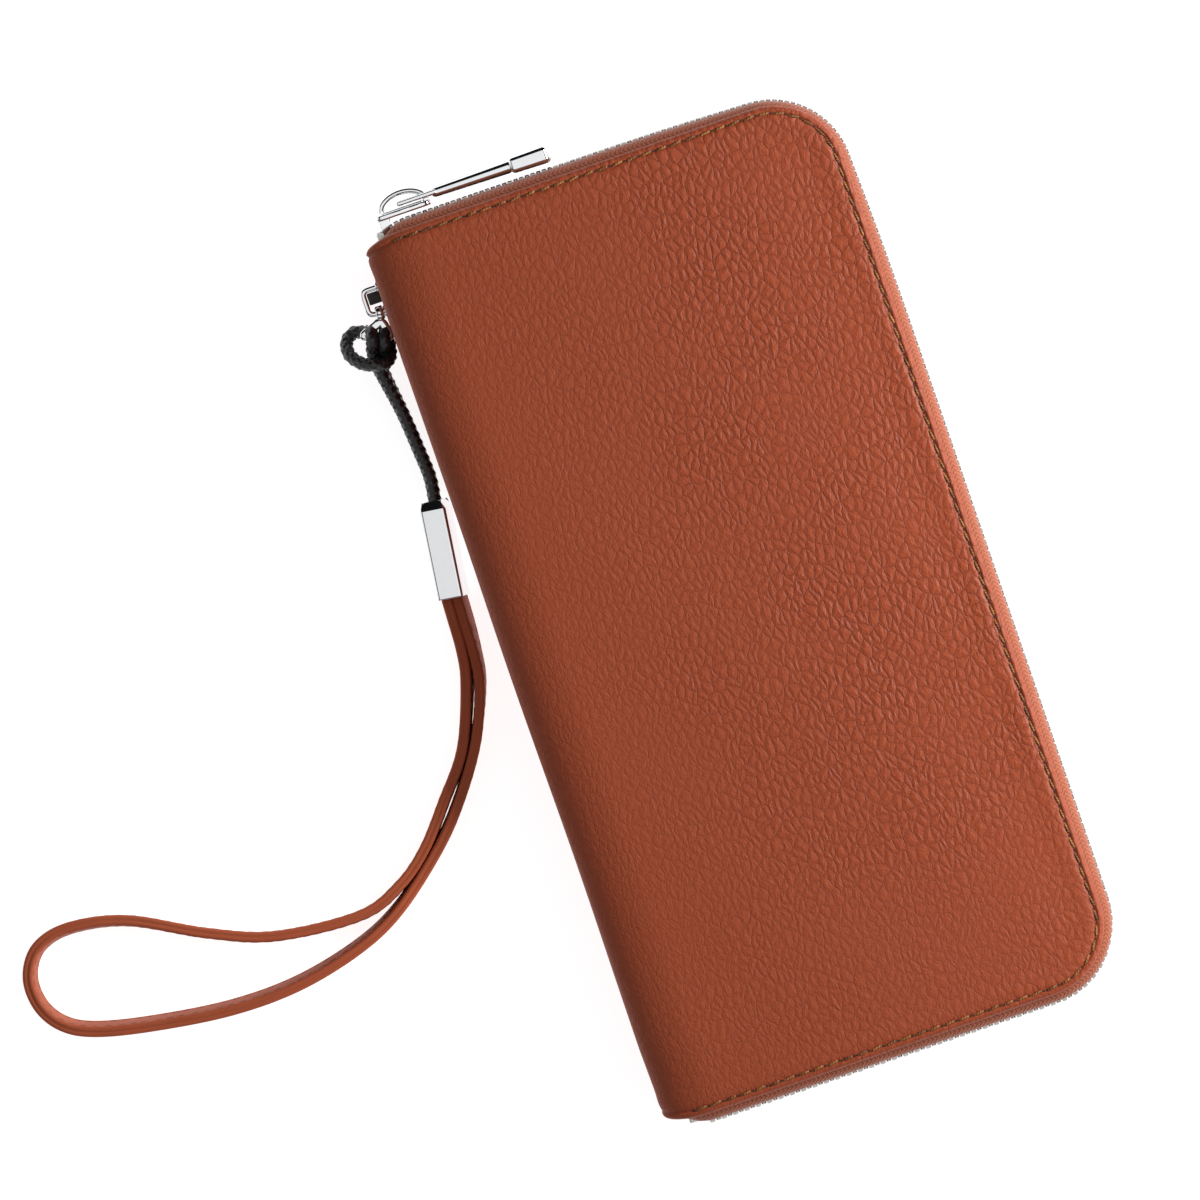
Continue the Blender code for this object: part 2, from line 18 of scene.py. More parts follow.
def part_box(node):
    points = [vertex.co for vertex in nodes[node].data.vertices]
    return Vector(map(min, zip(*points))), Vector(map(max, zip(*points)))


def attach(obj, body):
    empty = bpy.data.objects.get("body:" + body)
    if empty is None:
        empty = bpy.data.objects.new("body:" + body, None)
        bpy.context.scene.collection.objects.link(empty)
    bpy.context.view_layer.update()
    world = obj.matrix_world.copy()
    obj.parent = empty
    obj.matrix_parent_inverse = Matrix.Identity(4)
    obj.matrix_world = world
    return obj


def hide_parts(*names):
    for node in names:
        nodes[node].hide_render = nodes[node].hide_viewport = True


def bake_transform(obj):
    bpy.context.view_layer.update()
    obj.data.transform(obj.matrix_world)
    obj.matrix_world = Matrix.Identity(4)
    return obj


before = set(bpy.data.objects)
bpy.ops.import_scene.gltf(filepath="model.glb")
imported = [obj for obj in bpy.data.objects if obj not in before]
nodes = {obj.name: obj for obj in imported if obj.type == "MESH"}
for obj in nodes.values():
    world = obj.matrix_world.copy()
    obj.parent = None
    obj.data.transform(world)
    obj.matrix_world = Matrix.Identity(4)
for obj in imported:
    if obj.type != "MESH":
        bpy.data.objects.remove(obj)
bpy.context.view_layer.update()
MM = 0.001

# %% [markdown]
# ## Where things are
#
# The main edges are read from the frame's solids; the spine's bend and the corners' radius are
# given. Lengths are turned into millimetres, because a leather worker's numbers (a stitch of 3.2,
# a groove of 0.3) are easier to read that way. A mesh goes back to metres when it is made.

# %% Measure the frame


def corners(node):
    low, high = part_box(node)
    return np.array(low) / MM, np.array(high) / MM


ZIP_X, ZIP_Y, TOP = corners("leather_front")[1]
TAPE_X, TAPE_Y = corners("zip_tape_back")[1][:2]
SPINE_X = corners("leather_back_and_spine")[0][0]
SPINE_BEND = 5.0
CORNER = 15.2
TAPE_CORNER = CORNER + TAPE_X - ZIP_X
print(f"leather to x={ZIP_X:.1f} y={ZIP_Y:.1f}, tape to x={TAPE_X:.1f} y={TAPE_Y:.1f}, top {TOP:.1f}")

# %% [markdown]
# ## The view
#
# The wallet is looked at from straight above, turned so that its spine leans to the left. A long
# lens from a few metres away keeps its sides parallel, as a catalogue photographer does to keep
# a flat thing flat. A very small tilt towards the slider lets the zip show a little more there.

# %% Set up the camera
LEAN = math.radians(19.0)
UP = Vector((math.sin(LEAN), math.cos(LEAN), 0.0))
RIGHT = Vector((math.cos(LEAN), -math.sin(LEAN), 0.0))
CENTRE = Vector((-28.7, 10.8, 12.0)) * MM
FRAME_WIDTH = 250.0 * MM
DISTANCE = 3.2
TILT = math.radians(2.0)

toward = (Vector((0, 0, 1)) * math.cos(TILT) + UP * math.sin(TILT)).normalized()
camera_up = (UP - toward * UP.dot(toward)).normalized()
camera = bpy.data.objects.new("camera", bpy.data.cameras.new("camera"))
bpy.context.scene.collection.objects.link(camera)
camera.matrix_world = Matrix.Translation(CENTRE + toward * DISTANCE) @ Matrix(
    (camera_up.cross(toward), camera_up, toward)).transposed().to_4x4()
camera.data.sensor_width = 36.0
camera.data.lens = 36.0 * DISTANCE / FRAME_WIDTH
camera.data.clip_end = 20.0
bpy.context.scene.camera = camera
bpy.context.scene.view_settings.view_transform = "Standard"
print(f"lens {camera.data.lens:.0f} mm at {DISTANCE} m")

# %% [markdown]
# ## A socket that does arithmetic
#
# A shader is a graph of nodes, and graphs are slow to write out one node at a time. Wrapping a
# socket in a small class with Python's operators lets a formula such as `1 - mask * 0.3` build
# its Math nodes by itself, so the recipe for a finish can be read like a recipe.

# %% The shader helper


class Wire:
    """An output socket in a material's tree, with arithmetic."""

    def __init__(self, tree, socket=None):
        self.tree, self.socket = tree, socket

    def node(self, kind, settings=(), sockets=(), out=0):
        """Any node: its settings first, then values or wires for its sockets."""
        made = self.tree.nodes.new("ShaderNode" + kind)
        for name, value in dict(settings).items():
            if name == "stops":
                ramp = made.color_ramp
                while len(ramp.elements) < len(value):
                    ramp.elements.new(0.5)
                for element, (place, level) in zip(ramp.elements, value):
                    element.position = place
                    element.color = (level, level, level, 1.0)
            else:
                setattr(made, name, value)
        for key, value in dict(sockets).items():
            if isinstance(value, Wire):
                self.tree.links.new(value.socket, made.inputs[key])
            else:
                made.inputs[key].default_value = value
        return Wire(self.tree, made.outputs[out])

    def math(self, operation, *values):
        return self.node("Math", {"operation": operation}, enumerate(values))

    def parts(self):
        """The x, y and z of a vector."""
        made = self.node("SeparateXYZ", (), {0: self}).socket.node
        return [Wire(self.tree, socket) for socket in made.outputs]

    def wave(self):
        """A sine, between 0 and 1."""
        return self.math("SINE", self) * 0.5 + 0.5

    def __add__(self, other):
        return self.math("ADD", self, other)

    def __sub__(self, other):
        return self.math("SUBTRACT", self, other)

    def __rsub__(self, other):
        return self.math("SUBTRACT", other, self)

    def __mul__(self, other):
        return self.math("MULTIPLY", self, other)

    __radd__ = __add__
    __rmul__ = __mul__

    def step(self, low, high):
        """0 below low and 1 above high, with a soft change between."""
        return self.node("MapRange", {"interpolation_type": "SMOOTHSTEP"},
                         {0: self, 1: low, 2: high, 3: 0.0, 4: 1.0})

    def span(self, low, high):
        """A value from 0 to 1, laid between two others."""
        return self * (high - low) + low

    def tint(self, first, second):
        """From the first colour, at 0, to the second, at 1."""
        colours = [c if isinstance(c, Wire) else (*c, 1.0) for c in (first, second)]
        return self.node("Mix", {"data_type": "RGBA"}, {0: self, 6: colours[0], 7: colours[1]}, out=2)

    def stretch(self, *scale):
        return self.node("VectorMath", {"operation": "MULTIPLY"}, {0: self, 1: scale})

    def shift(self, other):
        return self.node("VectorMath", {"operation": "ADD"}, {0: self, 1: other})

    def noise(self, scale, detail=2.0, rough=0.5, out="Fac"):
        return self.node("TexNoise", (), {"Vector": self, "Scale": scale, "Detail": detail,
                                          "Roughness": rough}, out)

    def cells(self, scale, feature="F1", out="Distance", random=1.0):
        return self.node("TexVoronoi", {"feature": feature, "voronoi_dimensions": "2D"},
                         {"Vector": self, "Scale": scale, "Randomness": random}, out)


def finish(name, recipe, **values):
    """A Principled material. The recipe gets the tree and returns what varies over the surface."""
    made = bpy.data.materials.new(name)
    made.use_nodes = True
    shader = made.node_tree.nodes["Principled BSDF"]
    for key, value in values.items():
        shader.inputs[key.replace("_", " ")].default_value = value
    start = Wire(made.node_tree)
    for key, wire in recipe(start).items():
        if key == "Height":
            height, strength, distance = wire
            bump = start.node("Bump", (), {"Strength": strength, "Distance": distance * MM,
                                           "Height": height})
            made.node_tree.links.new(bump.socket, shader.inputs["Normal"])
        else:
            made.node_tree.links.new(wire.socket, shader.inputs[key])
    print("finish:", name, len(made.node_tree.nodes), "nodes")
    return made


def laid_out(start):
    """The piece's own flat pattern, in millimetres."""
    return start.node("UVMap", {"uv_map": "pattern"}).stretch(100.0, 100.0, 0.0)


def in_space(start):
    """The piece's place in the wallet, in millimetres."""
    return start.node("TexCoord", out="Object").stretch(1000.0, 1000.0, 1000.0)

# %% [markdown]
# ## Pebbled leather
#
# Full-grain cowhide that has been drummed until its grain shrinks into pebbles. Each pebble is a
# low dome with a crease round it, about 2 mm across and 3 mm along the hide, and each carries
# finer wrinkles. A Voronoi pattern gives the creases, and warping it with noise takes away its
# straight edges. The hide is pulled tight round the spine, so the grain fades there, and it is
# calmer toward the stop end. The creases and the pebbles' flanks are painted darker as painted
# shade, over slow patches of real tone, and the domes are a little shinier where hands polish
# them.

# %% Pebbled leather
SPINE_MIDDLE = 110.0


def pebbled(start):
    hide = laid_out(start)
    drift = hide.noise(0.12, 3.0, 0.55, out="Color")
    grain = hide.shift(drift.stretch(3.4, 3.4, 0.0)).stretch(1.0, 0.66, 0.0)
    edge = grain.cells(0.56, "DISTANCE_TO_EDGE")
    dome = edge.step(-0.05, 0.55)
    crease = edge.step(0.0, 0.07)
    wrinkle = grain.cells(1.05, "DISTANCE_TO_EDGE").step(0.0, 0.24)
    patch = hide.noise(0.045, 2.0)
    across, along, _ = hide.parts()
    tight = across.math("ABSOLUTE", across - SPINE_MIDDLE).step(12.0, 80.0)
    calm = (0 - along).step(35.0, 80.0) * tight.step(0.35, 0.9)
    strength = tight.span(0.35, 1.0) * patch.step(0.25, 0.7).span(0.6, 1.1) * calm.span(1.0, 0.6)
    height = (dome * 0.62 + crease * 0.12 + hide.noise(1.3, 4.0) * 0.22) * strength + wrinkle * 0.13
    # Painted shade: the creases and the pebbles' flanks are darkened as if in shade; the patch term is random
    # tone.
    shade_and_tone = (1 - crease) * strength * 0.3 + (1 - dome) * strength * 0.2 + (1 - patch) * 0.12
    colour = shade_and_tone.tint((0.315, 0.056, 0.0165), (0.12, 0.018, 0.006))
    return {"Base Color": colour, "Roughness": (crease * strength).span(0.6, 0.46),
            "Height": (height, 0.9, 0.27)}


PEBBLED = finish("pebbled_leather", pebbled, Specular_IOR_Level=0.33)

# %% [markdown]
# ## The other leathers
#
# The strap is smooth calf: it keeps pores and a few faint creases, and its cut edges are painted.
# The card slots and the coin pocket are a thin split leather with a fine printed grain.

# %% Strap leather and pocket leather


def smooth_calf(start):
    band = laid_out(start)
    pores = band.cells(2.2, "F1").step(0.0, 0.35)
    mottle = band.noise(0.12, 3.0)
    lines = band.stretch(0.25, 1.6, 0.0).noise(1.1, 3.0)
    colour = mottle.tint((0.48, 0.105, 0.042), (0.36, 0.074, 0.028))
    return {"Base Color": colour, "Roughness": mottle.span(0.55, 0.7),
            "Height": (pores * 0.4 + lines * 0.6, 0.35, 0.1)}


def split_leather(start):
    skin = in_space(start)
    drift = skin.noise(0.8, 2.0, out="Color")
    grain = skin.shift(drift.stretch(0.8, 0.8, 0.8)).cells(1.1, "DISTANCE_TO_EDGE").step(0.0, 0.22)
    mottle = skin.noise(0.05, 2.0)
    colour = ((1 - grain) * 0.5 + mottle * 0.3).tint((0.23, 0.062, 0.029), (0.12, 0.028, 0.013))
    return {"Base Color": colour, "Roughness": grain.span(0.62, 0.5), "Height": (grain, 0.5, 0.12)}


CALF = finish("strap_leather", smooth_calf, Specular_IOR_Level=0.25)
SPLIT = finish("pocket_leather", split_leather)

# %% [markdown]
# ## Cloth: lining twill, zip tape, stiffener board
#
# Twill shows as fine slanted ribs. The zip tape is a herringbone: the ribs change their slant
# every few millimetres across the tape. Both are sine waves along a slanted coordinate, which
# stays crisp at any distance and costs almost nothing.

# %% Lining, tape and board


def twill(start):
    cloth = in_space(start)
    x, y, z = cloth.parts()
    rib = ((x + y + z) * 9.0).wave()
    thread = ((x - y) * 16.0).wave()
    mottle = cloth.noise(0.3, 2.0)
    colour = (rib * 0.6 + mottle * 0.4).tint((0.1, 0.04, 0.024), (0.2, 0.088, 0.052))
    return {"Base Color": colour, "Height": (rib * 0.8 + thread * 0.3, 0.5, 0.12)}


def herringbone(start):
    tape = laid_out(start)
    along, across, _ = tape.parts()
    slant = across.math("PINGPONG", across, 1.1)
    rib = ((along + slant * 0.9) * 6.4).wave()
    picks = (across * 12.0).wave()
    wear = tape.noise(0.5, 3.0)
    weave = rib * picks.span(0.75, 1.0)
    colour = (weave * 0.7 + wear * 0.3).tint((0.19, 0.042, 0.017), (0.43, 0.108, 0.043))
    return {"Base Color": colour, "Height": (weave, 0.6, 0.16)}


def fibre_board(start):
    board = in_space(start)
    flecks = board.noise(1.5, 4.0, 0.7)
    return {"Base Color": flecks.tint((0.36, 0.29, 0.21), (0.6, 0.51, 0.4)), "Height": (flecks, 0.4, 0.1)}


TWILL = finish("lining_twill", twill, Roughness=0.85, Sheen_Weight=0.3)
TAPE = finish("zip_tape_weave", herringbone, Roughness=0.75, Sheen_Weight=0.12)
BOARD = finish("stiffener_board", fibre_board, Roughness=0.95)

# %% [markdown]
# ## Metal, thread and waxed cord
#
# Polished plating is almost a mirror, so what makes it look real is what it reflects and the very
# fine polishing marks. The teeth are nickel, a little warmer and duller. Thread has a twist.
# The cord is braided cotton soaked in wax: nearly black, with a greasy shine on its ridges; the
# grey flecks in its colour are painted highlights.

# %% Metal, thread and cord


def polished(start):
    metal = in_space(start)
    marks = metal.stretch(0.4, 4.0, 4.0).noise(2.0, 3.0)
    haze = metal.noise(0.4, 2.0)
    return {"Roughness": (marks * 0.6 + haze * 0.4).span(0.02, 0.11),
            "Base Color": haze.tint((0.93, 0.94, 0.95), (0.86, 0.87, 0.89)),
            "Height": (marks, 0.05, 0.02)}


def nickel(start):
    metal = in_space(start)
    marks = metal.noise(3.0, 3.0)
    return {"Roughness": marks.span(0.1, 0.3),
            "Base Color": marks.tint((0.62, 0.6, 0.57), (0.4, 0.385, 0.37)),
            "Height": (marks, 0.2, 0.05)}


def twisted_thread(start):
    thread = laid_out(start)
    along, around, _ = thread.parts()
    ply = ((along * 1.6 + around) * 6.0).wave()
    each = thread.noise(0.35, 1.0)
    colour = (each * 0.8 + ply * 0.2).step(0.3, 0.75).tint((0.07, 0.02, 0.006), (0.4, 0.17, 0.035))
    return {"Base Color": colour, "Height": (ply, 0.6, 0.08)}


def waxed(start):
    braid = laid_out(start)
    wax = braid.noise(0.9, 4.0, 0.6)
    fibres_and_glints = braid.stretch(3.0, 0.8, 0.0).noise(3.0, 3.0)
    # Painted highlights: the grey flecks in the base colour stand for the wax's glints.
    colour = (fibres_and_glints * 0.7 + wax * 0.3).step(0.53, 0.68).tint((0.003, 0.0035, 0.005), (0.17, 0.18, 0.2))
    return {"Base Color": colour, "Roughness": wax.span(0.22, 0.5), "Height": (fibres_and_glints, 0.6, 0.12)}


# Painted shade: the needle holes are coloured dark brown for the shade inside each hole.
def hole_shade(start):
    return {"Base Color": in_space(start).noise(2.0, 2.0).tint((0.03, 0.008, 0.004), (0.075, 0.018, 0.008))}


HOLE = finish("needle_hole", hole_shade, Roughness=0.8)
CHROME = finish("polished_plate", polished, Metallic=1.0)
NICKEL = finish("nickel_teeth", nickel, Metallic=1.0)
THREAD = finish("stitch_thread", twisted_thread, Roughness=0.6)
WAXED = finish("waxed_cord", waxed, Specular_IOR_Level=0.8)

# %% [markdown]
# ## Meshes from rows of points
#
# Almost everything here is a skin over rows of points: a hide, a tape, a cord, a stitch. One
# builder takes the rows and makes the faces and a flat pattern in millimetres that the
# materials read. Rows that close on themselves make tubes, which get end caps. On metal, large
# faces also get more say in the shading, so that a flat face reflects like a flat face.

# %% The mesh builder


class Skin:
    """Collects rows of points, in millimetres, and makes one mesh of them."""

    def __init__(self):
        self.points, self.faces, self.pattern = [], [], []

    def rows(self, grid, closed=False, caps=False, along=None, around=None):
        grid = np.asarray(grid, float)
        count, width = grid.shape[:2]
        first = len(self.points)
        self.points.extend(grid.reshape(-1, 3))
        if along is None:
            step = np.linalg.norm(np.diff(grid.mean(1), axis=0), axis=1)
            along = np.concatenate([[0.0], np.cumsum(step)])
        if around is None:
            loop = np.concatenate([grid, grid[:, :1]], 1) if closed else grid
            step = np.linalg.norm(np.diff(loop[count // 2], axis=0), axis=1)
            around = np.concatenate([[0.0], np.cumsum(step)])
        for r in range(count - 1):
            for c in range(width if closed else width - 1):
                after = (c + 1) % width
                a, b = first + r * width, first + (r + 1) * width
                self.faces.append((a + c, a + after, b + after, b + c))
                self.pattern += [(along[r], around[c]), (along[r], around[c + 1]),
                                 (along[r + 1], around[c + 1]), (along[r + 1], around[c])]
        if caps:
            last = first + (count - 1) * width
            for start, order in ((first, range(width - 1, -1, -1)), (last, range(width))):
                self.faces.append(tuple(start + c for c in order))
                self.pattern += [(around[c], 0.0) for c in order]

    def piece(self, name, look, slot, smooth=35.0):
        mesh = bpy.data.meshes.new(name)
        mesh.from_pydata((np.array(self.points) * MM).tolist(), [], self.faces)
        layer = mesh.uv_layers.new(name="pattern")
        layer.data.foreach_set("uv", (np.array(self.pattern) / 100.0).ravel())
        shape = bmesh.new()
        shape.from_mesh(mesh)
        bmesh.ops.recalc_face_normals(shape, faces=shape.faces)
        shape.to_mesh(mesh)
        shape.free()
        mesh.materials.append(look)
        mesh.shade_smooth()
        if smooth < 180:
            mesh.set_sharp_from_angle(angle=math.radians(smooth))
        made = bpy.data.objects.new(name, mesh)
        bpy.context.scene.collection.objects.link(made)
        if look in (CHROME, NICKEL):
            flat = made.modifiers.new("flat faces", "WEIGHTED_NORMAL")
            flat.keep_sharp = True
        print(f"{name}: {len(mesh.vertices)} points, {len(mesh.polygons)} faces")
        return made


def resample(points, spacing):
    """Even points along a polyline."""
    points = np.asarray(points, float)
    length = np.concatenate([[0.0], np.cumsum(np.linalg.norm(np.diff(points, axis=0), axis=1))])
    where = np.linspace(0, length[-1], max(2, int(round(length[-1] / spacing)) + 1))
    return np.stack([np.interp(where, length, points[:, k]) for k in range(points.shape[1])], 1)


def curve_through(points, steps=12):
    """A smooth curve through given points (Catmull-Rom)."""
    p = np.asarray(points, float)
    p = np.concatenate([[2 * p[0] - p[1]], p, [2 * p[-1] - p[-2]]])
    t = np.linspace(0, 1, steps, endpoint=False)[:, None]
    out = []
    for a, b, c, d in zip(p, p[1:], p[2:], p[3:]):
        out.append(0.5 * (2 * b + (c - a) * t + (2 * a - 5 * b + 4 * c - d) * t * t
                          + (3 * b - a - 3 * c + d) * t ** 3))
    return np.concatenate(out + [p[-2:-1]])


def arc(centre, radius, start, end, steps):
    turn = np.radians(np.linspace(start, end, steps + 1))
    return np.stack([centre[0] + radius * np.cos(turn), centre[1] + radius * np.sin(turn)], 1)


def headings(path):
    """The direction of travel at each point of a path."""
    way = np.gradient(path, axis=0)
    return way / np.linalg.norm(way, axis=1, keepdims=True)

# %% [markdown]
# ## Turned and cast metal
#
# Plates, bars and stops share one recipe: an outline pushed through a depth, with its edges
# rounded by drawing the first and last outlines in. Wires and arches share another: a small
# section carried along a path, kept from twisting by turning it as little as possible at each
# step.

# %% Solids from outlines and paths


def inset(outline, amount):
    """The outline drawn in by a distance."""
    p = np.asarray(outline, float)
    way = np.roll(p, -1, 0) - p
    way /= np.linalg.norm(way, axis=1, keepdims=True)
    before = np.roll(way, 1, 0)
    left = np.column_stack([-way[:, 1] - before[:, 1], way[:, 0] + before[:, 0]])
    cosine = (1 + (way * before).sum(1))[:, None]
    return p + left / np.maximum(cosine, 0.5) * amount


def rounded(points, radius, steps=5):
    """A polygon's outline with its corners rounded."""
    p = [np.array(q, float) for q in points]
    out = []
    for corner, before, after in zip(p, p[-1:] + p, p[1:] + p):
        enter = before - corner
        leave = after - corner
        reach = min(radius, 0.45 * np.linalg.norm(enter), 0.45 * np.linalg.norm(leave))
        enter = corner + enter / np.linalg.norm(enter) * reach
        leave = corner + leave / np.linalg.norm(leave) * reach
        for t in np.linspace(0, 1, steps):
            out.append((1 - t) ** 2 * enter + 2 * t * (1 - t) * corner + t * t * leave)
    return np.array(out)


def plate(skin, outline, low, high, soft, place):
    """A plate with rounded edges; place turns its own (a, b, depth) into the wallet's x, y, z."""
    turns = np.linspace(0, math.pi / 2, 4)
    rings = [(low + soft * (1 - math.sin(t)), soft * (1 - math.cos(t))) for t in turns]
    rings = sorted(rings + [(high - (d - low), s) for d, s in rings], key=lambda ring: ring[0])
    rows = [[place(a, b, depth) for a, b in inset(outline, drawn)] for depth, drawn in rings]
    skin.rows(rows, closed=True, caps=True)


def frames(path, cyclic=False):
    """Directions across a path that don't twist: along, one side, the other side."""
    way = headings(path)
    if cyclic:
        way = np.roll(path, -1, 0) - np.roll(path, 1, 0)
        way /= np.linalg.norm(way, axis=1, keepdims=True)
    side = np.cross(way[0], (0, 0, 1.0))
    if np.linalg.norm(side) < 0.1:
        side = np.cross(way[0], (1.0, 0, 0))
    sides = []
    for w in way:
        side = side - w * np.dot(side, w)
        side = side / np.linalg.norm(side)
        sides.append(side)
    sides = np.array(sides)
    return way, sides, np.cross(way, sides)


def sweep(skin, path, wide, thick, count=16, squareness=1.0, cyclic=False, relief=None):
    """A round or squarish bar along a path. Relief is a height over (along, angle)."""
    path = np.asarray(path, float)
    way, side, other = frames(path, cyclic)
    turn = np.linspace(0, 2 * math.pi, count, endpoint=False)
    a = np.sign(np.cos(turn)) * np.abs(np.cos(turn)) ** squareness * wide
    b = np.sign(np.sin(turn)) * np.abs(np.sin(turn)) ** squareness * thick
    along = np.concatenate([[0], np.cumsum(np.linalg.norm(np.diff(path, axis=0), axis=1))])
    rows = path[:, None] + a[None, :, None] * side[:, None] + b[None, :, None] * other[:, None]
    if relief is not None:
        height = relief(along[:, None], turn[None, :])
        rows = path[:, None] + (rows - path[:, None]) * (1 + height[:, :, None])
    if cyclic:
        rows = np.concatenate([rows, rows[:1]])
        along = np.append(along, along[-1] + np.linalg.norm(path[0] - path[-1]))
    skin.rows(rows, closed=True, caps=not cyclic, along=along)

# %% [markdown]
# ## The hide
#
# On the bench the outer leather is one flat piece with four round corners. It is folded over its
# boards, wrapped round the spine and stitched 1.5 mm from its edge. So it is modelled flat and
# then wrapped. Columns of the grid run from the front's zip edge, round the spine, to the back's
# zip edge, and each column ends on the cut outline. A lift along the surface's normal shapes the
# rest: the rounded, turned edge, the little rim outside the stitches, the groove that the thread
# pulls in, and the slow unevenness of real hide. Toward the spine the hide falls away over a wide
# elliptical shoulder.

# %% Wrap the hide
FRONT_RUN = ZIP_X - SPINE_X - SPINE_BEND
BEND_RUN = SPINE_BEND * math.pi / 2
WALL_RUN = TOP - 2 * SPINE_BEND
HIDE_RUN = 2 * (FRONT_RUN + BEND_RUN) + WALL_RUN
STITCH_INSET = 1.55
TURNED = 0.9
SPINE_DRAW = 1.8


def edge_distances(reach):
    """Fine steps near an edge, wider ones inside."""
    near = [0.0, 0.06, 0.2, 0.4, 0.65, 0.9, 1.1, 1.3, 1.55, 1.8, 2.1, 2.6, 3.3, 4.2, 5.4, 7.0, 9.0,
            11.0, 13.2]
    inner = np.arange(near[-1] + 1.9, reach, 1.9)
    return np.array(near + list(inner[inner < reach - 0.8]))


def drawn_in(u):
    """How far the hide's ends pull back at the spine, where it is folded under."""
    past = np.clip((np.minimum(u, HIDE_RUN - u) - FRONT_RUN + 2.0) / (BEND_RUN + 2.0), 0, 1)
    return SPINE_DRAW * past ** 1.6


def half_length(u):
    """Half the hide's length in column u."""
    e = np.clip(np.minimum(u, HIDE_RUN - u), 0, CORNER)
    return ZIP_Y - CORNER + np.sqrt(CORNER ** 2 - (CORNER - e) ** 2) - drawn_in(u)


def edge_distance(u, v):
    e = np.minimum(u, HIDE_RUN - u)
    straight = np.minimum(e, half_length(u) - np.abs(v))
    deep = np.abs(v) - (ZIP_Y - CORNER)
    rounded = CORNER - np.hypot(CORNER - e, np.maximum(deep, 0))
    return np.maximum(np.where((e < CORNER) & (deep > 0), rounded, straight), 0.0)


def unevenness(u, v):
    """Slow waves in the hide, in millimetres."""
    return (0.10 * np.sin(u * 0.071 + 0.9 * np.sin(v * 0.043)) + 0.08 * np.sin(v * 0.057 + 1.3)
            + 0.05 * np.sin(u * 0.13 - v * 0.09))


def lift(u, v):
    d = edge_distance(u, v)
    inside = np.minimum(d, TURNED)
    rounding = np.sqrt(np.maximum(TURNED ** 2 - (TURNED - inside) ** 2, 0)) - TURNED
    rim = 0.10 * np.exp(-((d - 0.95) / 0.4) ** 2)
    groove = -0.30 * np.exp(-((d - STITCH_INSET) / 0.36) ** 2)
    swell = 0.16 * np.exp(-((d - 3.4) / 1.5) ** 2)
    fade = np.clip((d - 3.0) / 12.0, 0, 1)
    return rounding + rim + groove + swell + (unevenness(u, v) + 0.12) * fade


SHOULDER = 12.0
quarter = np.linspace(0, math.pi / 2, 60)
ellipse = np.stack([SHOULDER * np.sin(quarter), SPINE_BEND * np.cos(quarter)], 1)
ellipse_run = np.concatenate([[0], np.cumsum(np.linalg.norm(np.diff(ellipse, axis=0), axis=1))])
TURN_START = FRONT_RUN - (SHOULDER - SPINE_BEND)
TURN_RUN = FRONT_RUN + BEND_RUN - TURN_START


def wrap(u, v, out):
    """The flat hide's point (u, v), moved out by a distance, as a point of the wallet."""
    front = u < HIDE_RUN / 2
    s = np.where(front, u, HIDE_RUN - u)
    past = np.clip((s - TURN_START) / TURN_RUN, 0, 1)
    turn = np.interp(past * ellipse_run[-1], ellipse_run, quarter)
    slope = np.stack([SPINE_BEND * np.sin(turn), SHOULDER * np.cos(turn)])
    slope = slope / np.hypot(*slope)
    turned_x = SPINE_X + SHOULDER * (1 - np.sin(turn)) - out * slope[0]
    x = np.where(s < TURN_START, ZIP_X - s, turned_x)
    z = TOP - SPINE_BEND * (1 - np.cos(turn)) + out * slope[1]
    z = z - np.maximum(s - FRONT_RUN - BEND_RUN, 0)
    bulge = 0.2 * np.clip(np.sin((z - 3.0) / (TOP - 6.0) * math.pi), 0, 1) * (s > FRONT_RUN)
    return np.stack([x - bulge, v, np.where(front, z, TOP - z)], -1)


def back_keeps_flat(u, out):
    """The back cover lies on the table, so nothing swells out of it."""
    on_back = u > HIDE_RUN - FRONT_RUN - BEND_RUN
    return np.where(on_back, np.minimum(out, 0.0) - 0.02, out)


def hide_panel(name, start, end):
    """The part of the hide between two columns, with its turned-under edge."""
    reach = edge_distances(FRONT_RUN)
    bends = FRONT_RUN + np.linspace(0, BEND_RUN, 13)
    wall = FRONT_RUN + BEND_RUN + np.linspace(0, WALL_RUN, 9)[1:]
    half = np.concatenate([reach, bends])
    u = np.unique(np.round(np.concatenate([half, wall, HIDE_RUN - half]), 5))
    u = u[(u >= start - 1e-4) & (u <= end + 1e-4)]
    ends = 1 - edge_distances(ZIP_Y) / ZIP_Y
    share = np.concatenate([-ends, ends[::-1][1:] if ends[-1] < 1e-6 else ends[::-1]])
    grid_u = np.repeat(u[:, None], len(share), 1)
    full = half_length(u)[:, None]
    from_end = ZIP_Y * (1 - np.abs(share))[None, :]
    grid_v = np.sign(share)[None, :] * np.maximum(full - from_end * (full / ZIP_Y) ** (from_end / ZIP_Y), 0)
    out = back_keeps_flat(grid_u, lift(grid_u, grid_v))
    skin = Skin()
    skin.rows(wrap(grid_u, grid_v, out))
    skin.pattern = [(grid_u[place], grid_v[place]) for r in range(len(u) - 1) for c in range(len(share) - 1)
                    for place in ((r, c), (r, c + 1), (r + 1, c + 1), (r + 1, c))]
    turned_edge(skin, grid_u, grid_v, start < 1.0)
    return skin.piece(name, PEBBLED, "pebbled_leather", smooth=180)


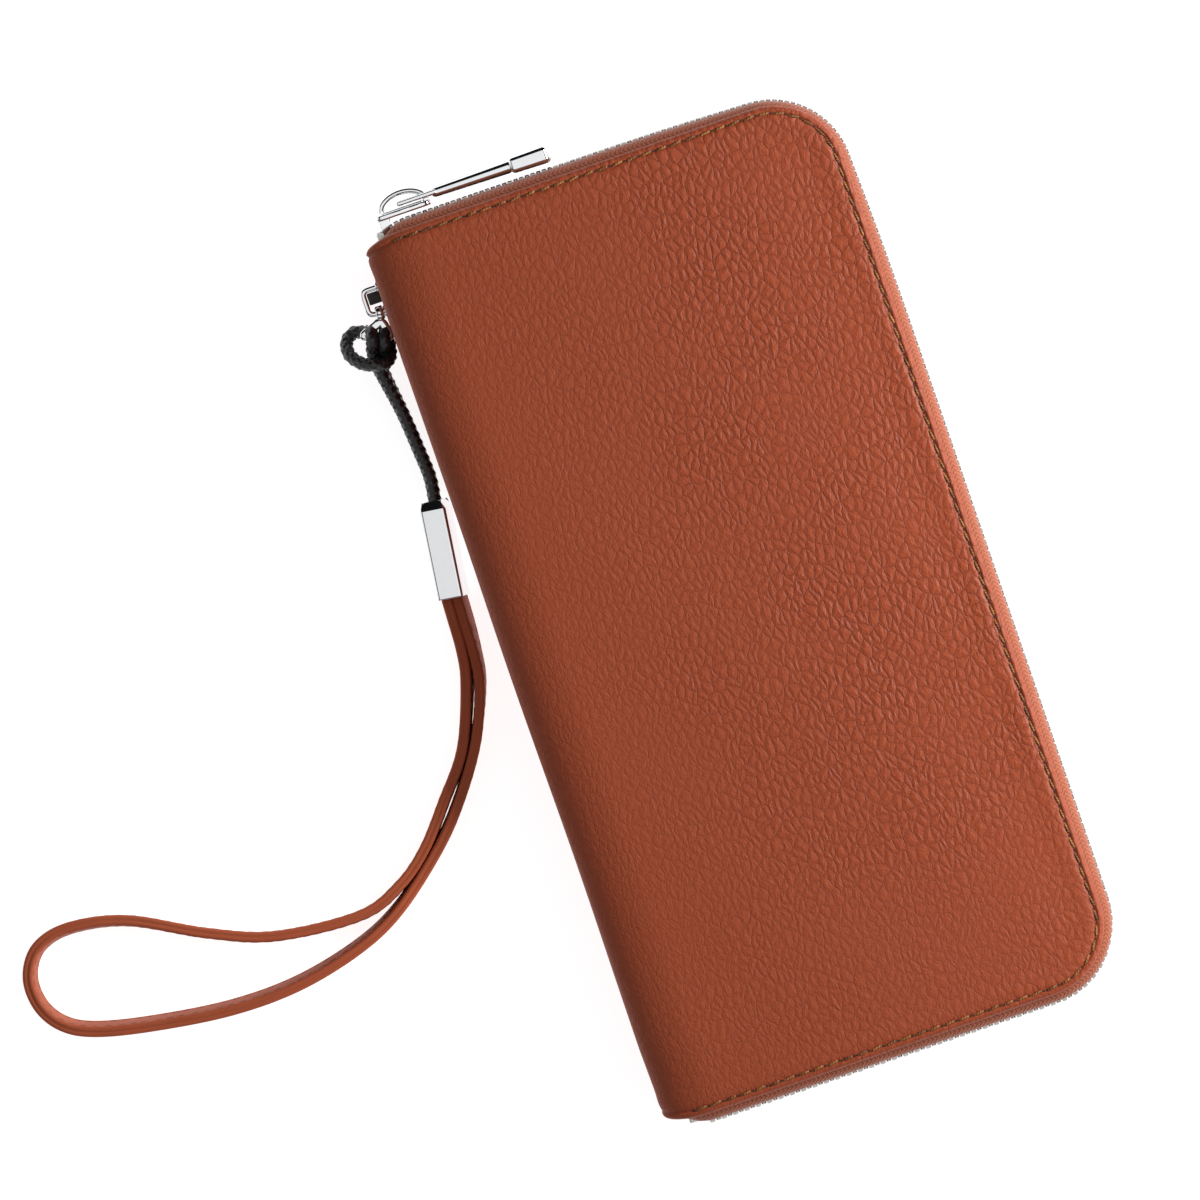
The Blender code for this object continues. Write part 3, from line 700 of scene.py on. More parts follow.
def turned_edge(skin, grid_u, grid_v, zip_first):
    """Carries the hide's cut outline down and back under itself."""
    rows, columns = grid_u.shape
    column_ends = [(r, 0) for r in range(rows)]
    other_ends = [(r, columns - 1) for r in range(rows)]
    zip_edge = [(0 if zip_first else rows - 1, c) for c in range(columns)]
    if zip_first:
        loop = column_ends[::-1] + zip_edge[1:] + other_ends[1:]
    else:
        loop = column_ends + zip_edge[1:] + other_ends[::-1][1:]
    u = np.array([grid_u[i] for i in loop])
    v = np.array([grid_v[i] for i in loop])
    e = np.minimum(u, HIDE_RUN - u)
    toward_u = np.where(e < CORNER, CORNER - e, 0.0)
    toward_v = np.where(e < CORNER, np.abs(v) - (ZIP_Y - CORNER), 1.0)
    size = np.hypot(toward_u, toward_v)
    away_u = toward_u / size * np.where(u < HIDE_RUN / 2, -1, 1)
    away_v = toward_v / size * np.sign(v)
    rings = []
    for inset, drop in ((0.0, 0.0), (-0.05, 0.4), (0.0, 0.85), (0.4, 1.1), (2.6, 1.15)):
        ring_u, ring_v = u - away_u * inset, v - away_v * inset
        out = back_keeps_flat(ring_u, np.full(len(u), -TURNED - drop))
        rings.append(wrap(ring_u, ring_v, out))
    skin.rows(rings)


seam = FRONT_RUN + BEND_RUN + WALL_RUN
front_hide = hide_panel("hide_front", 0.0, seam)
back_hide = hide_panel("hide_back", seam, HIDE_RUN)
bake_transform(front_hide)
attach(back_hide, "back_cover")
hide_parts("leather_front")
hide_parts("leather_back_and_spine")

# %% [markdown]
# ## Stitches
#
# A lockstitch shows as a row of short, plump dashes that dive into the leather at each end. Each
# dash is its own little sausage, a touch slanted, as the needle's twist leaves it. The needle's
# holes are small dark cups, painted shade for the hollow of each hole, and read as dark dots
# between them.

# %% Sew the covers
STITCH_PITCH = 3.2


def stitch_run(inset, start_x):
    """Plan of the stitch line: slider end, round the long side, and back to the spine."""
    x, y, radius = ZIP_X - inset, ZIP_Y - inset, CORNER - inset
    return np.concatenate([[(start_x, y)], arc((x - radius, y - radius), radius, 90, 0, 24),
                           arc((x - radius, radius - y), radius, 0, -90, 24), [(start_x, -y)]])


def sew(skin, line, up, pitch=STITCH_PITCH, girth=0.25, slant=0.16, holes=None):
    """Adds one stitch for each pitch along a line in space; up is the way out of the leather."""
    ways = headings(line)
    step = np.linalg.norm(np.diff(line, axis=0), axis=1).mean()
    profile = [(-0.42, -0.34, 0.35), (-0.34, -0.06, 0.9), (-0.15, 0.1, 1.0), (0.15, 0.1, 1.0),
               (0.34, -0.06, 0.9), (0.42, -0.34, 0.35)]
    turn = np.linspace(0, 2 * math.pi, 8, endpoint=False)
    for number, index in enumerate(np.arange(pitch / step / 2, len(line) - 1, pitch / step)):
        index = int(round(index))
        out = up[index] / np.linalg.norm(up[index])
        side = np.cross(out, ways[index])
        tilt = slant + 0.06 * math.sin(number * 1.7)
        lean_way, lean_side = ways[index] + side * tilt, side - ways[index] * tilt
        rings = []
        for along, rise, size in profile:
            middle = line[index] + lean_way * along * pitch + out * rise * girth / 0.27
            rings.append(middle + np.outer(np.cos(turn) * girth * size, lean_side)
                         + np.outer(np.sin(turn) * girth * size * 0.8, out))
        laid = np.array([p[0] * pitch for p in profile]) + number * 9.0
        skin.rows(rings, closed=True, caps=True, along=laid)
        # Each needle hole is a small dark cup whose colour is painted shade.
        if holes is not None:
            round_hole = (np.outer(np.cos(turn), ways[index]) + np.outer(np.sin(turn), side)) * girth
            place = line[index] + ways[index] * pitch / 2
            holes.rows([place + out * rise + round_hole * size
                        for rise, size in ((-0.1, 1.3), (0.0, 1.15), (0.02, 0.1))], closed=True)


for cover, face, height in (("front", 1, TOP - 0.12), ("back", -1, 0.4)):
    stitches, holes = Skin(), Skin()
    line = resample(stitch_run(STITCH_INSET, SPINE_X + SPINE_BEND + 0.6), 0.4)
    bent = np.clip((SPINE_X + SHOULDER - line[:, 0]) / SHOULDER, 0, 1)
    line = np.column_stack([line, height - face * SPINE_BEND * (1 - np.sqrt(1 - bent ** 2))])
    sew(stitches, line, np.repeat([[0.0, 0.0, face]], len(line), 0), holes=holes)
    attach(holes.piece(f"needle_holes_{cover}", HOLE, "pebbled_leather", 60), f"{cover}_cover")
    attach(stitches.piece(f"stitches_{cover}", THREAD, "lining_cloth", 60), f"{cover}_cover")

# %% [markdown]
# ## The zip tape
#
# Each half of the tape is sewn under the leather, comes out of its edge, swells outwards and
# turns towards the other half. It is a strip swept along the wallet's outline. Its pattern
# follows the strip, so the weave goes round the corners as woven tape does.

# %% Sweep the tapes
CHAIN_Z = TOP / 2
CHAIN_START = corners("zip_teeth_back")[0][0]


def zip_run(inset, start_x, end_x):
    """Plan of the zip at some depth inside the tape's outline."""
    x, y, radius = TAPE_X - inset, TAPE_Y - inset, TAPE_CORNER - inset
    lead = np.linspace(start_x, x - radius, 40)[:-1]
    side = np.linspace(y - radius, radius - y, 90)[1:-1]
    tail = np.linspace(x - radius, end_x, 40)[1:]
    return np.concatenate([np.column_stack([lead, np.full(len(lead), y)]),
                           arc((x - radius, y - radius), radius, 90, 0, 28),
                           np.column_stack([np.full(len(side), x), side]),
                           arc((x - radius, radius - y), radius, 0, -90, 28),
                           np.column_stack([tail, np.full(len(tail), -y)])])


def tuck(run):
    """The tape sits deeper at the far corner and dives under the leather at both ends."""
    way = headings(run)
    inward = np.column_stack([way[:, 1], -way[:, 0]])
    corner = 0.9 * np.exp(-(np.hypot(run[:, 0] - TAPE_X + 6, run[:, 1] - TAPE_Y + 6) / 24) ** 2)
    ends = 1.9 * np.clip((-41.5 - run[:, 0]) / 5.0, 0, 1) ** 2
    return run + inward * (corner + ends)[:, None]


def tape_half(name, mirror):
    section = [(8.8, 1.95), (4.0, 1.95), (2.6, 2.0), (1.7, 2.15), (1.05, 2.55), (0.62, 3.2), (0.4, 4.1),
               (0.32, 5.4), (0.3, 7.0), (0.3, 8.6), (0.3, 10.2)]
    half = 0.3
    way = headings(np.array(section))
    outer = [(i - w[1] * half, z + w[0] * half) for (i, z), w in zip(section, way)]
    inner = [(i + w[1] * half, z - w[0] * half) for (i, z), w in zip(section, way)]
    loop = outer + inner[::-1]
    rings = []
    for inset, z in loop:
        start = CHAIN_START + 0.6 + 0.5 * max(inset, 0)
        height = TOP - z if mirror else z
        run = tuck(zip_run(inset, start, start))
        rings.append(np.column_stack([run, np.full(len(run), height)]))
    grid = np.array(rings).transpose(1, 0, 2)
    skin = Skin()
    middle = zip_run(0.3, CHAIN_START, CHAIN_START)
    length = np.concatenate([[0], np.cumsum(np.linalg.norm(np.diff(middle, axis=0), axis=1))])
    skin.rows(grid, closed=True, caps=True, along=length)
    return skin.piece(name, TAPE, "zip_tape", smooth=60)


for cover, mirror in (("back", False), ("front", True)):
    tape = tape_half(f"tape_{cover}", mirror)
    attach(tape, f"{cover}_cover")
    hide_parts(f"zip_tape_{cover}")

# %% [markdown]
# ## Metal teeth
#
# One tooth is a small clamp with a rounded head. It is drawn as a twelve-sided outline and pushed
# through the chain's depth, with its ends drawn in as if filed. Both rows use the same tooth; the
# front row is shifted by half a pitch, so that the heads lie between each other.

# %% Set the teeth
TOOTH_PITCH = 2.5
TOOTH_INSET = 0.6
CHAIN_END = CHAIN_START + 4.0
TOOTH = np.array([(-0.5, 2.75), (0.5, 2.75), (0.56, 1.9), (0.5, 0.7), (0.56, 0.1), (0.42, -0.4),
                  (0.18, -0.6), (-0.18, -0.6), (-0.42, -0.4), (-0.56, 0.1), (-0.5, 0.7), (-0.56, 1.9)])
TOOTH_MIDDLE = np.array([0.0, 1.1])


def set_tooth(skin, place, way, up, side, scale=1.0):
    """One tooth in the middle of the chain; side says which of the two rows it belongs to."""
    across = np.cross(up, way) * side
    rings = []
    for depth, size in ((-1.1, 0.8), (-0.9, 1.0), (0.9, 1.0), (1.1, 0.8)):
        shaped = (TOOTH_MIDDLE + (TOOTH - TOOTH_MIDDLE) * size) * scale
        rings.append(place + up * depth * scale + np.outer(shaped[:, 0], way) + np.outer(shaped[:, 1], across))
    skin.rows(rings, closed=True, caps=True)


def rim_teeth(cover, side, shift):
    """Teeth round the rim. There the chain's depth faces outwards, so each tooth has its own up."""
    run = tuck(zip_run(TOOTH_INSET, CHAIN_START + 1.6, CHAIN_END))
    run[:, 1] -= 0.4 * np.clip((-90.0 - run[:, 1]) / 6.0, 0, 1)
    run = resample(run, TOOTH_PITCH / 4)
    skin = Skin()
    for place, way in list(zip(run, headings(run)))[2 + shift:-1:4]:
        outwards = np.array([-way[1], way[0], 0.0])
        set_tooth(skin, np.array([*place, CHAIN_Z]), np.array([*way, 0.0]), outwards, side)
    return skin.piece(f"teeth_{cover}", NICKEL, "zip_teeth", 25)


for name, low, high in (("bottom_stop", (-46.4, -98.6, 9.6), (-43.4, -96.4, 14.4)),
                        ("top_stop_back", (-47.9, 96.0, 9.4), (-46.3, 98.2, 11.4)),
                        ("top_stop_front", (-47.9, 96.0, 12.6), (-46.3, 98.2, 14.6))):
    stop = Skin()
    outline = rounded([(low[0], low[1]), (high[0], low[1]), (high[0], high[1]), (low[0], high[1])], 0.5)
    rings = [(low[2], 0.25), (low[2] + 0.25, 0), (high[2] - 0.25, 0), (high[2], 0.25)]
    middle = outline.mean(0)
    rows = [[(*(middle + (q - middle) * (1 - drawn / 1.5)), z) for q in outline] for z, drawn in rings]
    stop.rows(rows, closed=True, caps=True)
    stop = stop.piece(name + "_clamp", NICKEL, "zip_teeth", 30)
    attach(stop, "front_cover" if "front" in name else "back_cover")
    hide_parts(name)

for cover, side, shift in (("back", -1, 0), ("front", 1, 2)):
    teeth = rim_teeth(cover, -side, shift)
    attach(teeth, f"{cover}_cover")
    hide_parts(f"zip_teeth_{cover}")

# %% [markdown]
# ## The slider and its puller
#
# A slider is two plates, wide where the rows part and narrow where they meet, joined by a wedge
# between the rows. An arch on the upper plate is the crown, and the puller's two arms hold a pin
# that lies under it.

# %% Make the sliders
CROWN_FOOT, CROWN_RISE, CROWN_HALF, CROWN_MIDDLE = 3.0, 3.0, 4.9, 0.4
PIVOT = 3.75
BOSS = 8.2
RIM_PULLER, POCKET_PULLER = 32.7, 22.0
POCKET_SCALE = 0.75


def slider_pieces(name, place, scale, length, with_boss):
    body, crown, puller = Skin(), Skin(), Skin()

    def stand(a, b, depth):
        return place(a * scale, depth * scale, b * scale)

    shape = rounded([(-6.0, -4.5), (-1.6, -4.5), (2.4, -3.9), (6.0, -3.6), (6.0, 3.6), (2.4, 3.9),
                     (-1.6, 4.5), (-6.0, 4.5)], 1.4)
    wedge = rounded([(-5.6, -0.6), (-3.2, -0.2), (-3.2, 0.2), (-5.6, 0.6)], 0.2)
    raised = rounded([(-4.8, -3.2), (4.9, -2.5), (4.9, 2.5), (-4.8, 3.2)], 1.2)
    plate(body, shape, 1.5, 2.7, 0.35, stand)
    plate(body, shape, -3.0, -2.05, 0.3, stand)
    plate(body, raised, 2.6, 2.95, 0.15, stand)
    plate(body, wedge, -2.2, 1.7, 0.1, stand)
    arch = [stand(CROWN_MIDDLE + x * CROWN_HALF, 0, CROWN_FOOT + y * CROWN_RISE)
            for x, y in arc((0, 0), 1.0, 180, 0, 28)]
    sweep(crown, arch, 0.7 * scale, 1.5 * scale, squareness=0.7, count=28)

    def upright(a, b, depth):
        return place(a * scale, (PIVOT + depth * (0.62 + 0.42 * a / length)) * scale, b * scale)

    neck = length - BOSS
    bar = rounded([(6.6, -2.7), (neck, -3.1), (neck, 3.1), (6.6, 2.7)], 0.9)
    boss = rounded([(neck - 0.6, -3.7), (length - 0.8, -3.7), (length, -2.6), (length, 2.6),
                    (length - 0.8, 3.7), (neck - 0.6, 3.7)], 1.0)
    plate(puller, bar, -1.65, 1.35, 1.1, upright)
    plate(puller, boss, -2.0 if with_boss else -1.1, 1.75 if with_boss else 1.1, 1.0, upright)
    for side in (-1, 1):
        low, high = sorted((side * 1.85, side * 2.95))
        arm = rounded([(-0.9, low), (7.8, low), (7.8, high), (-0.9, high)], 0.4)
        plate(puller, arm, -0.8, 0.8, 0.5, upright)
    pin = [upright(0.0, b, 0.0) for b in (-2.3, 0.0, 2.3)]
    sweep(puller, pin, 0.6 * scale, 0.6 * scale, count=16)
    return [body.piece(name, CHROME, "chrome", 40), crown.piece(name + "_crown", CHROME, "chrome", 50),
            puller.piece(name + "_puller", CHROME, "chrome", 40)]


slider_middle = sum(corners("slider_body")) / 2
coin_middle = sum(corners("coin_slider")) / 2


def on_rim(a, out, across):
    return slider_middle + np.array([a, out, across])


def on_page(a, out, across):
    return coin_middle + np.array([-across, -a, out])


for made, node, body in zip(slider_pieces("zip_slider", on_rim, 1.0, RIM_PULLER, True),
                            ("slider_body", "slider_crown", "slider_puller"), ("slider", "slider", "puller")):
    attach(made, body)
    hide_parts(node)
for made, node in zip(slider_pieces("pocket_slider", on_page, POCKET_SCALE, POCKET_PULLER, False),
                      ("coin_slider", "coin_slider_crown", "coin_slider_puller")):
    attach(made, "coin_slider")
    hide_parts(node)

# %% [markdown]
# ## The loop on the spine and the link on it
#
# The wire loop comes out of the spine through two small eyelets and holds a black pad. The link
# is a three-sided ring of half-flat wire whose apex ends in a knuckle on the loop's lower leg.

# %% Bend the wire
LOOP_BEND = 1.1
loop_low, loop_high = corners("spine_loop")
loop_z = (loop_low[2] + loop_high[2]) / 2
wire = (loop_high[2] - loop_low[2]) / 2
leg_low, leg_high = loop_low[1] + wire, loop_high[1] - wire
loop_out = loop_low[0] + wire
loop = Skin()
bends = [(loop_high[0], leg_high),
         *arc((loop_out + LOOP_BEND, leg_high - LOOP_BEND), LOOP_BEND, 90, 180, 8),
         *arc((loop_out + LOOP_BEND, leg_low + LOOP_BEND), LOOP_BEND, 180, 270, 8), (loop_high[0], leg_low)]
sweep(loop, resample([(x, y, loop_z) for x, y in bends], 0.35), 0.62, 0.62, squareness=0.8)
for y in (leg_low, leg_high):
    eyelet = arc((0, 0), 1.25, 0, 360, 24)[:-1]
    plate(loop, eyelet, SPINE_X - 0.75, SPINE_X - 0.1, 0.3, lambda a, b, d: (d, y + a, loop_z + b))
# A black pad fills the inside of the loop.
dark_pad = Skin()
pad = rounded([(loop_out + 0.75, leg_high - 3.3), (SPINE_X - 0.3, leg_high - 3.3),
               (SPINE_X - 0.3, leg_high - 0.75), (loop_out + 0.75, leg_high - 0.75)], 0.3)
plate(dark_pad, pad, loop_z - 0.5, loop_z + 0.35, 0.15, lambda a, b, d: (a, b, d))
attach(dark_pad.piece("loop_dark_pad", WAXED, "waxed_cord", 40), "back_cover")
loop = loop.piece("wire_loop", CHROME, "chrome", 50)
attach(loop, "back_cover")
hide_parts("spine_loop")

DOWN = np.array([-0.3256, -0.9455, 0.0])
SIDE = np.array([0.9455, -0.3256, 0.0])
APEX = np.array([-52.9, 80.6, loop_z])
KNUCKLE_X = -52.6
link = Skin()
bar_right, bar_left = APEX + DOWN * 3.3 + SIDE * 2.1, APEX + DOWN * 3.3 - SIDE * 3.9
sweep(link, rounded([APEX, bar_right, bar_left], 0.9, 7), 1.0, 0.55, squareness=0.75, cyclic=True)
knuckle = [(-0.8, 0.92), (-0.8, 1.35), (-0.65, 1.5), (0.65, 1.5), (0.8, 1.35), (0.8, 0.92), (-0.8, 0.92)]
link.rows([[(KNUCKLE_X + x, leg_low + r * c, loop_z + r * s) for x, r in knuckle]
           for c, s in arc((0, 0), 1.0, 0, 360, 28)])
link = link.piece("three_sided_link", CHROME, "chrome", 50)
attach(link, "strap")
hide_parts("swivel_link")

# %% [markdown]
# ## The cord
#
# One length of waxed cord leaves the ferrule, climbs to the link, goes over its bar, swings out
# to the left and crosses in front of both runs before it goes up behind the bar and back down:
# a lark's head. The two runs then lie one above the other down to the ferrule. The braid is real
# relief, two sets of strands that cross.

# %% Tie the cord
CORD = 1.35
bar = (bar_left + bar_right) / 2


def by_bar(s, d, z):
    """A place beside the link's bar: s to its right, d below it, z above the table."""
    place = bar + SIDE * s + DOWN * d
    return (place[0], place[1], z)


def run(shift):
    """One of the cord's two straight runs, from the ferrule up to the knot."""
    return [(-54.95, 39.2, 4.7 + shift), (-54.7, 41.0, 4.6 + shift), (-54.0, 46.3, 4.6 + shift),
            (-54.3, 52.2, 4.9 + shift), (-55.0, 61.0, 5.6 + shift)]


knot = [(0.3, 6.6, 8.3), (-0.4, 4.9, 8.3), (-0.9, 2.9, 9.2), (-0.9, 1.0, 10.6), (-1.2, -0.9, 9.7),
        (-2.4, -0.9, 7.4), (-4.9, -0.7, 6.6), (-6.3, 1.3, 7.2), (-5.6, 3.9, 9.2), (-3.0, 5.6, 10.8),
        (0.0, 5.9, 11.3), (1.9, 5.5, 10.4), (2.8, 4.0, 8.2), (2.6, 2.0, 6.4), (2.1, 0.2, 6.9),
        (1.7, -1.0, 8.9), (1.5, 0.7, 10.3), (1.4, 2.9, 8.8), (1.7, 4.9, 6.5), (1.0, 6.6, 5.4)]
knot = [by_bar(*place) for place in knot]
cord_path = resample(curve_through(run(1.5) + knot + run(-1.5)[::-1]), 0.2)


def braid(along, angle):
    return 0.2 * np.abs(np.sin(2.5 * angle + 1.8 * along) * np.sin(2.5 * angle - 1.8 * along + 0.8)) - 0.1


cord = Skin()
sweep(cord, cord_path, CORD, CORD, count=26, relief=braid)
cord = cord.piece("braided_cord", WAXED, "waxed_cord", 180)
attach(cord, "strap")
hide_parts("cord_lower", "cord_upper", "cord_hitch")

# %% [markdown]
# ## The ferrule
#
# A flattened sleeve of polished metal. Its walls turn in at both mouths, where cord and strap
# are glued in, and the cord's end has a wide bevel. It is rolled a little on its long axis, so
# one side face shows.

# %% Form the ferrule
MOUTH_TOP, MOUTH_END = np.array([-54.72, 41.5, 4.75]), np.array([-57.4, 21.0, 4.75])
sleeve_way = (MOUTH_END - MOUTH_TOP) / np.linalg.norm(MOUTH_END - MOUTH_TOP)
level = np.cross(sleeve_way, (0, 0, 1.0))
ROLL = math.radians(-12)
sleeve_side = level * math.cos(ROLL) + np.array([0, 0, 1.0]) * math.sin(ROLL)
sleeve_up = np.cross(sleeve_side, sleeve_way)
sleeve_length = np.linalg.norm(MOUTH_END - MOUTH_TOP)
walls = rounded([(-2.8, -4.1), (2.8, -4.1), (2.8, 4.1), (-2.8, 4.1)], 0.75, 6)
top_mouth = [(1.5, 1.3), (0.15, 1.3), (0.0, 1.2), (0.05, 0.95), (1.7, 0.12), (1.95, 0.0)]
low_mouth = [(0.3, 0.0), (0.05, 0.1), (0.0, 0.35), (0.15, 0.6), (1.5, 0.6)]
sleeve_rings = top_mouth + [(sleeve_length - d, i) for d, i in low_mouth]
sleeve = Skin()
sleeve.rows([[MOUTH_TOP + sleeve_way * d + sleeve_side * a + sleeve_up * b for a, b in inset(walls, i)]
             for d, i in sleeve_rings], closed=True, caps=True)
sleeve = sleeve.piece("ferrule_sleeve", CHROME, "chrome", 30)
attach(sleeve, "strap")
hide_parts("ferrule")

# %% [markdown]
# ## The strap
#
# A band of two thin leathers glued back to back, stitched near its edges and painted there. It
# stands on its edge. Where it turns at the far end and on the way back it leans outwards a
# little, so its inner face shows. At both ends it leans with the ferrule that holds it.

# %% Bend and sew the strap
STRAP_ROUTE = [(-58.4, 22.2), (-59.1, 10.2), (-60.9, 2.4), (-66.2, -9.8), (-73.2, -18.6), (-80.5, -27.0),
               (-87.9, -32.4), (-97.7, -35.6), (-115.7, -33.9), (-129.0, -28.7), (-143.9, -20.8),
               (-155.7, -18.3), (-163.2, -19.9), (-167.0, -25.0), (-167.0, -31.3), (-163.9, -36.5),
               (-158.0, -39.9), (-146.4, -42.7), (-129.5, -45.0), (-114.3, -44.7), (-99.6, -41.4),
               (-89.1, -36.4), (-77.4, -27.1), (-69.9, -18.9), (-63.2, -9.2), (-58.3, 1.6), (-56.95, 9.4),
               (-56.25, 22.2)]
STRAP_HALF, STRAP_LOW, STRAP_HIGH = 1.12, 0.3, 6.8


strap_path = resample(curve_through(STRAP_ROUTE), 0.6)
strap_side = headings(strap_path)[:, ::-1] * (1, -1)
part = np.linspace(0, 1, len(strap_path))
strap_lean = math.radians(7) * np.exp(-((part - 0.60) / 0.19) ** 4) + math.radians(3)
strap_lean = np.where(part < 0.06, -ROLL, np.where(part > 0.94, ROLL, strap_lean))
strap_lean = np.convolve(np.pad(strap_lean, 20, "edge"), np.ones(41) / 41, "valid")
tall = STRAP_HIGH - STRAP_LOW
strap_middle = (STRAP_LOW + STRAP_HIGH) / 2


def on_strap(index, across, height):
    """A place on the leaning band: across its thickness, and up from its lower edge."""
    lean = strap_lean[index]
    rise = height - tall / 2
    flat = strap_path[index] - strap_side[index] * (across * math.cos(lean) - rise * math.sin(lean))
    up = strap_middle + rise * math.cos(lean) + across * math.sin(lean)
    return (flat[0], flat[1], max(up, 0.15))


half_section = [(0.1, tall - 0.14), (0.35, tall), (0.8, tall - 0.03), (STRAP_HALF - 0.03, tall - 0.35),
                (STRAP_HALF, tall - 0.8), (STRAP_HALF - 0.08, tall - 1.25), (STRAP_HALF, tall - 1.7),
                (STRAP_HALF, tall / 2), (STRAP_HALF, 1.7), (STRAP_HALF - 0.08, 1.25), (STRAP_HALF, 0.8),
                (STRAP_HALF - 0.03, 0.35), (0.8, 0.03), (0.35, 0.0), (0.1, 0.14)]
section = half_section + [(-a, h) for a, h in half_section[::-1]]
band = Skin()
band.rows([[on_strap(i, a, h) for a, h in section] for i in range(len(strap_path))], closed=True, caps=True)
band = band.piece("strap_band", CALF, "strap_leather", 50)
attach(band, "strap")
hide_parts("wrist_strap")

strap_seams = Skin()
for across in (STRAP_HALF - 0.1, 0.1 - STRAP_HALF):
    for height in (1.25, tall - 1.25):
        sewn = range(12, len(strap_path) - 12)
        line = np.array([on_strap(i, across, height) for i in sewn])
        outward = np.array([on_strap(i, across * 2, height) for i in sewn]) - line
        sew(strap_seams, line, outward, pitch=2.6, girth=0.13)
strap_seams = strap_seams.piece("strap_stitches", THREAD, "lining_cloth", 60)
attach(strap_seams, "strap")

# %% [markdown]
# ## Inside
#
# Nothing inside shows while the wallet is shut, but its covers open. The card slots get rounded
# edges and a row of stitches, the lining its twill, and the gussets are pleated sheets that
# stretch between the two covers. The coin pocket has a real zip of its own.


def dress(names, look, soft=0.0):
    for name in names:
        node = nodes[name]
        node.data.materials.clear()
        node.data.materials.append(look)
        if soft:
            edge = node.modifiers.new("edge", "BEVEL")
            edge.width, edge.segments = soft * MM, 2
        print("dressed", name)


slots = [f"card_slot_{cover}_{row}" for cover in ("back", "front") for row in (1, 2, 3, 4)]
dress(slots, SPLIT, 0.12)
dress(["coin_panel_back", "coin_panel_front"], SPLIT, 0.2)
dress(["lining_back", "lining_front", "lining_spine", "coin_spine_strip"], TWILL)
dress(["board_back", "board_front", "board_spine"], BOARD)

for cover, face in (("back", 1), ("front", -1)):
    seams = Skin()
    for row in (1, 2, 3, 4):
        low, high = corners(f"card_slot_{cover}_{row}")
        level = high[2] if face > 0 else low[2]
        line = resample([(high[0] - 1.3, low[1] + 3.0, level), (high[0] - 1.3, high[1] - 3.0, level)], 0.4)
        sew(seams, line, np.repeat([[0.0, 0.0, face]], len(line), 0), pitch=3.0, girth=0.17)
    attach(seams.piece(f"slot_stitches_{cover}", THREAD, "lining_cloth", 60), f"{cover}_cover")

# %% Pleat the gussets


GUSSET_Y = 93.0
GUSSET_HALF = 4.7


def gusset(node, side):
    """A sheet from cover to cover, folded inwards, and deeper toward its open edge."""
    low, high = corners(node)
    heights = np.linspace(-1, 1, 25)
    fold = 1.02 - np.sqrt(heights ** 2 * 0.96 + 0.04)
    skin = Skin()
    skin.rows([[(x, side * (GUSSET_Y - depth * f), CHAIN_Z + t * GUSSET_HALF) for t, f in zip(heights, fold)]
               for x, depth in zip(np.linspace(low[0], high[0], 33), np.linspace(2.5, 17.5, 33))])
    made = skin.piece(node + "_pleat", TWILL, "lining_cloth", 180)
    body = made.modifiers.new("cloth", "SOLIDIFY")
    body.thickness, body.offset = 0.4 * MM, 0.0
    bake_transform(made)
    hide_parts(node)


gusset("gusset_slider_end", 1)
gusset("gusset_stop_end", -1)

# %% The pocket's zip
for row, side in (("inner", -1), ("outer", 1)):
    low, high = corners(f"coin_tape_{row}")
    strip = Skin()
    z = (low[2] + high[2]) / 2
    ring = [(low[0], z - 0.22), (high[0], z - 0.22), (high[0], z + 0.22), (low[0], z + 0.22)]
    stations = np.arange(low[1], high[1] + 0.01, 1.0)
    strip.rows([[(x, y, h) for x, h in ring] for y in stations], closed=True, caps=True)
    strip = strip.piece(f"pocket_tape_{row}", TAPE, "zip_tape", 40)
    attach(strip, "coin_page")
    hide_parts(f"coin_tape_{row}")
    low, high = corners(f"coin_teeth_{row}")
    middle = coin_middle[0]
    line = resample([(middle, high[1] - 0.6, z), (middle, low[1] + 0.6, z)], TOOTH_PITCH * POCKET_SCALE / 4)
    teeth = Skin()
    for place, way in list(zip(line, headings(line)))[3 + side:-1:4]:
        set_tooth(teeth, place, way, np.array([0.0, 0.0, 1.0]), side, POCKET_SCALE)
    teeth = teeth.piece(f"pocket_teeth_{row}", NICKEL, "zip_teeth", 25)
    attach(teeth, "coin_page")
    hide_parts(f"coin_teeth_{row}")

# %% [markdown]
# ## Stage and light
#
# A pale floor that glows a little, an even sky, and one long, low lamp to the right, so every
# pebble has a lit side. In the sky stand light and dark panels that only glossy rays see: without
# something dark to reflect, chrome looks like plaster.

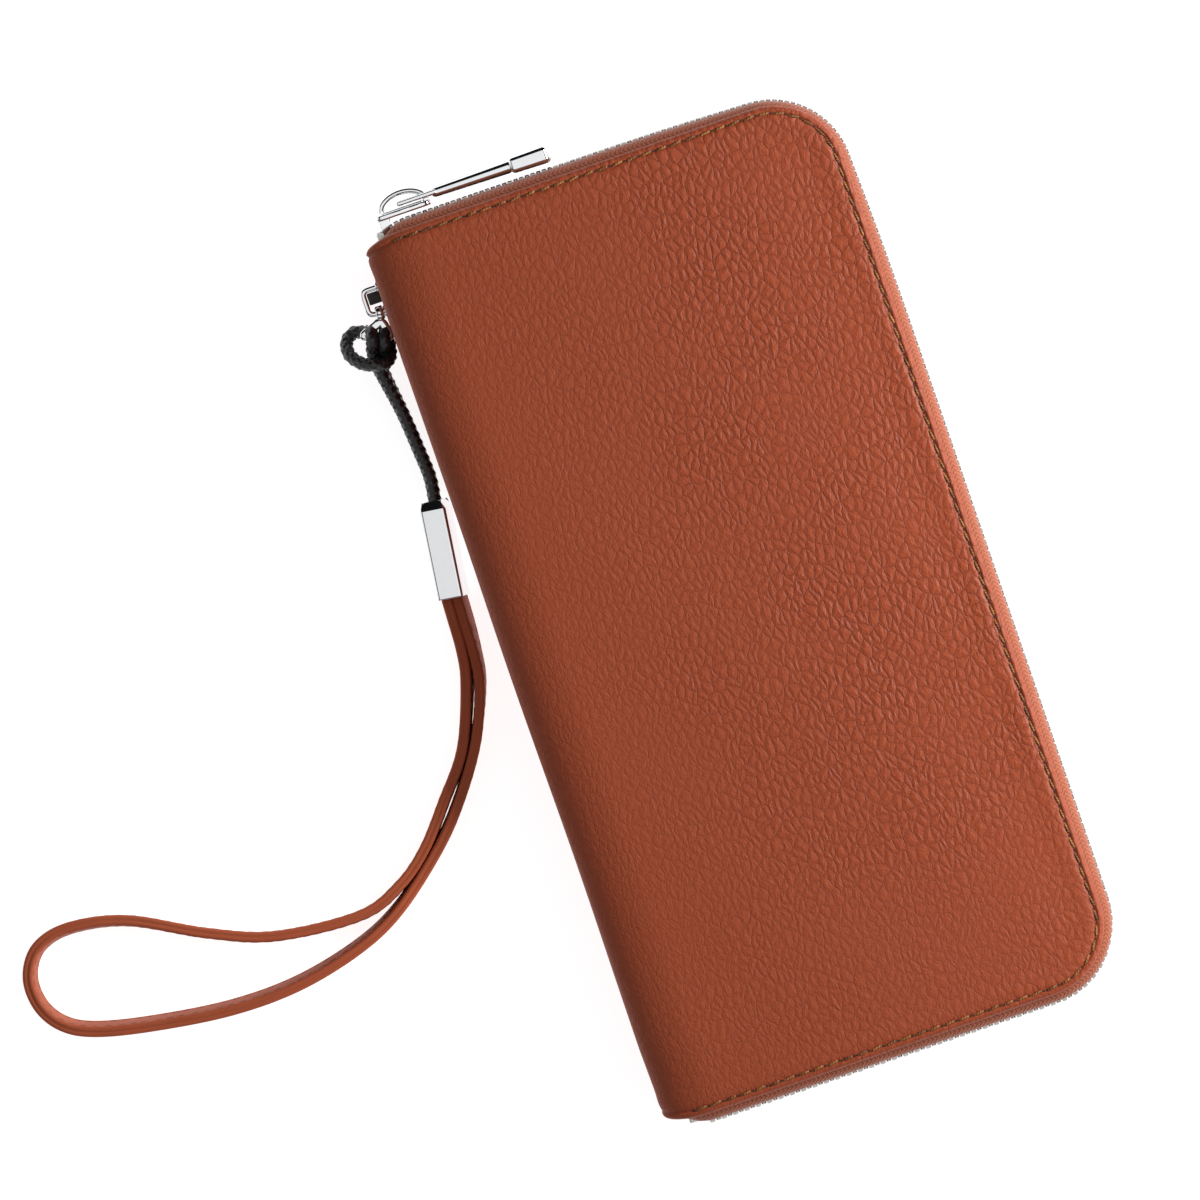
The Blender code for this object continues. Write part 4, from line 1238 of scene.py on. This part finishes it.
# %% Light the set
FLOOR_HALF = 3.0
floor_look = finish("floor_paper", lambda start: {}, Base_Color=(0.6, 0.6, 0.61, 1), Roughness=1.0,
                    Emission_Color=(1, 1, 1.0, 1), Emission_Strength=0.86)
paper = bpy.data.meshes.new("floor")
paper.from_pydata([(x * FLOOR_HALF, y * FLOOR_HALF, 0) for x, y in ((-1, -1), (1, -1), (1, 1), (-1, 1))],
                  [], [(0, 1, 2, 3)])
paper.materials.append(floor_look)
floor = bpy.data.objects.new("floor", paper)
bpy.context.scene.collection.objects.link(floor)

world = bpy.data.worlds.new("studio")
bpy.context.scene.world = world
world.use_nodes = True
sky = Wire(world.node_tree)
way = sky.node("TexCoord", out="Generated")


def panels(direction, stops):
    """Light and dark panels, told apart by how far a direction leans one way."""
    lean = way.node("VectorMath", {"operation": "DOT_PRODUCT"}, {0: way, 1: direction}, out=1)
    return lean.node("ValToRGB", {"stops": stops}, {0: lean * 0.5 + 0.5})


LIGHT, DARK = 1.0, 0.02
north = panels(UP, [(0.0, 0.9), (0.12, 0.9), (0.19, DARK), (0.3, 0.05), (0.36, LIGHT), (0.6, LIGHT),
                    (0.65, 0.01), (1.0, 0.01)])
across = panels(RIGHT, [(0.0, 0.9), (0.12, 0.8), (0.16, 0.03), (0.23, 0.05), (0.27, 0.8), (0.68, LIGHT),
                        (0.73, DARK), (1.0, DARK)])
both = north.node("Mix", {"data_type": "RGBA", "blend_type": "MULTIPLY"}, {0: 1.0, 6: north, 7: across}, out=2)
mirror = sky.node("LightPath", out="Is Glossy Ray")
even = way.parts()[0].step(-0.9, 0.9).tint((0.21, 0.215, 0.235), (0.5, 0.5, 0.5))
background = world.node_tree.nodes["Background"]
world.node_tree.links.new(mirror.tint(even, both).socket, background.inputs["Color"])
background.inputs["Strength"].default_value = 1.0

lamp = bpy.data.lights.new("key", "AREA")
lamp.energy, lamp.color = 2.4, (1.0, 0.985, 0.96)
lamp.shape, lamp.size, lamp.size_y = "RECTANGLE", 0.36, 0.1
key = bpy.data.objects.new("key", lamp)
bpy.context.scene.collection.objects.link(key)
key.location = (0.33, 0.0, 0.225)
key.rotation_euler = (-key.location).to_track_quat("-Z", "Y").to_euler()

# %% Finish
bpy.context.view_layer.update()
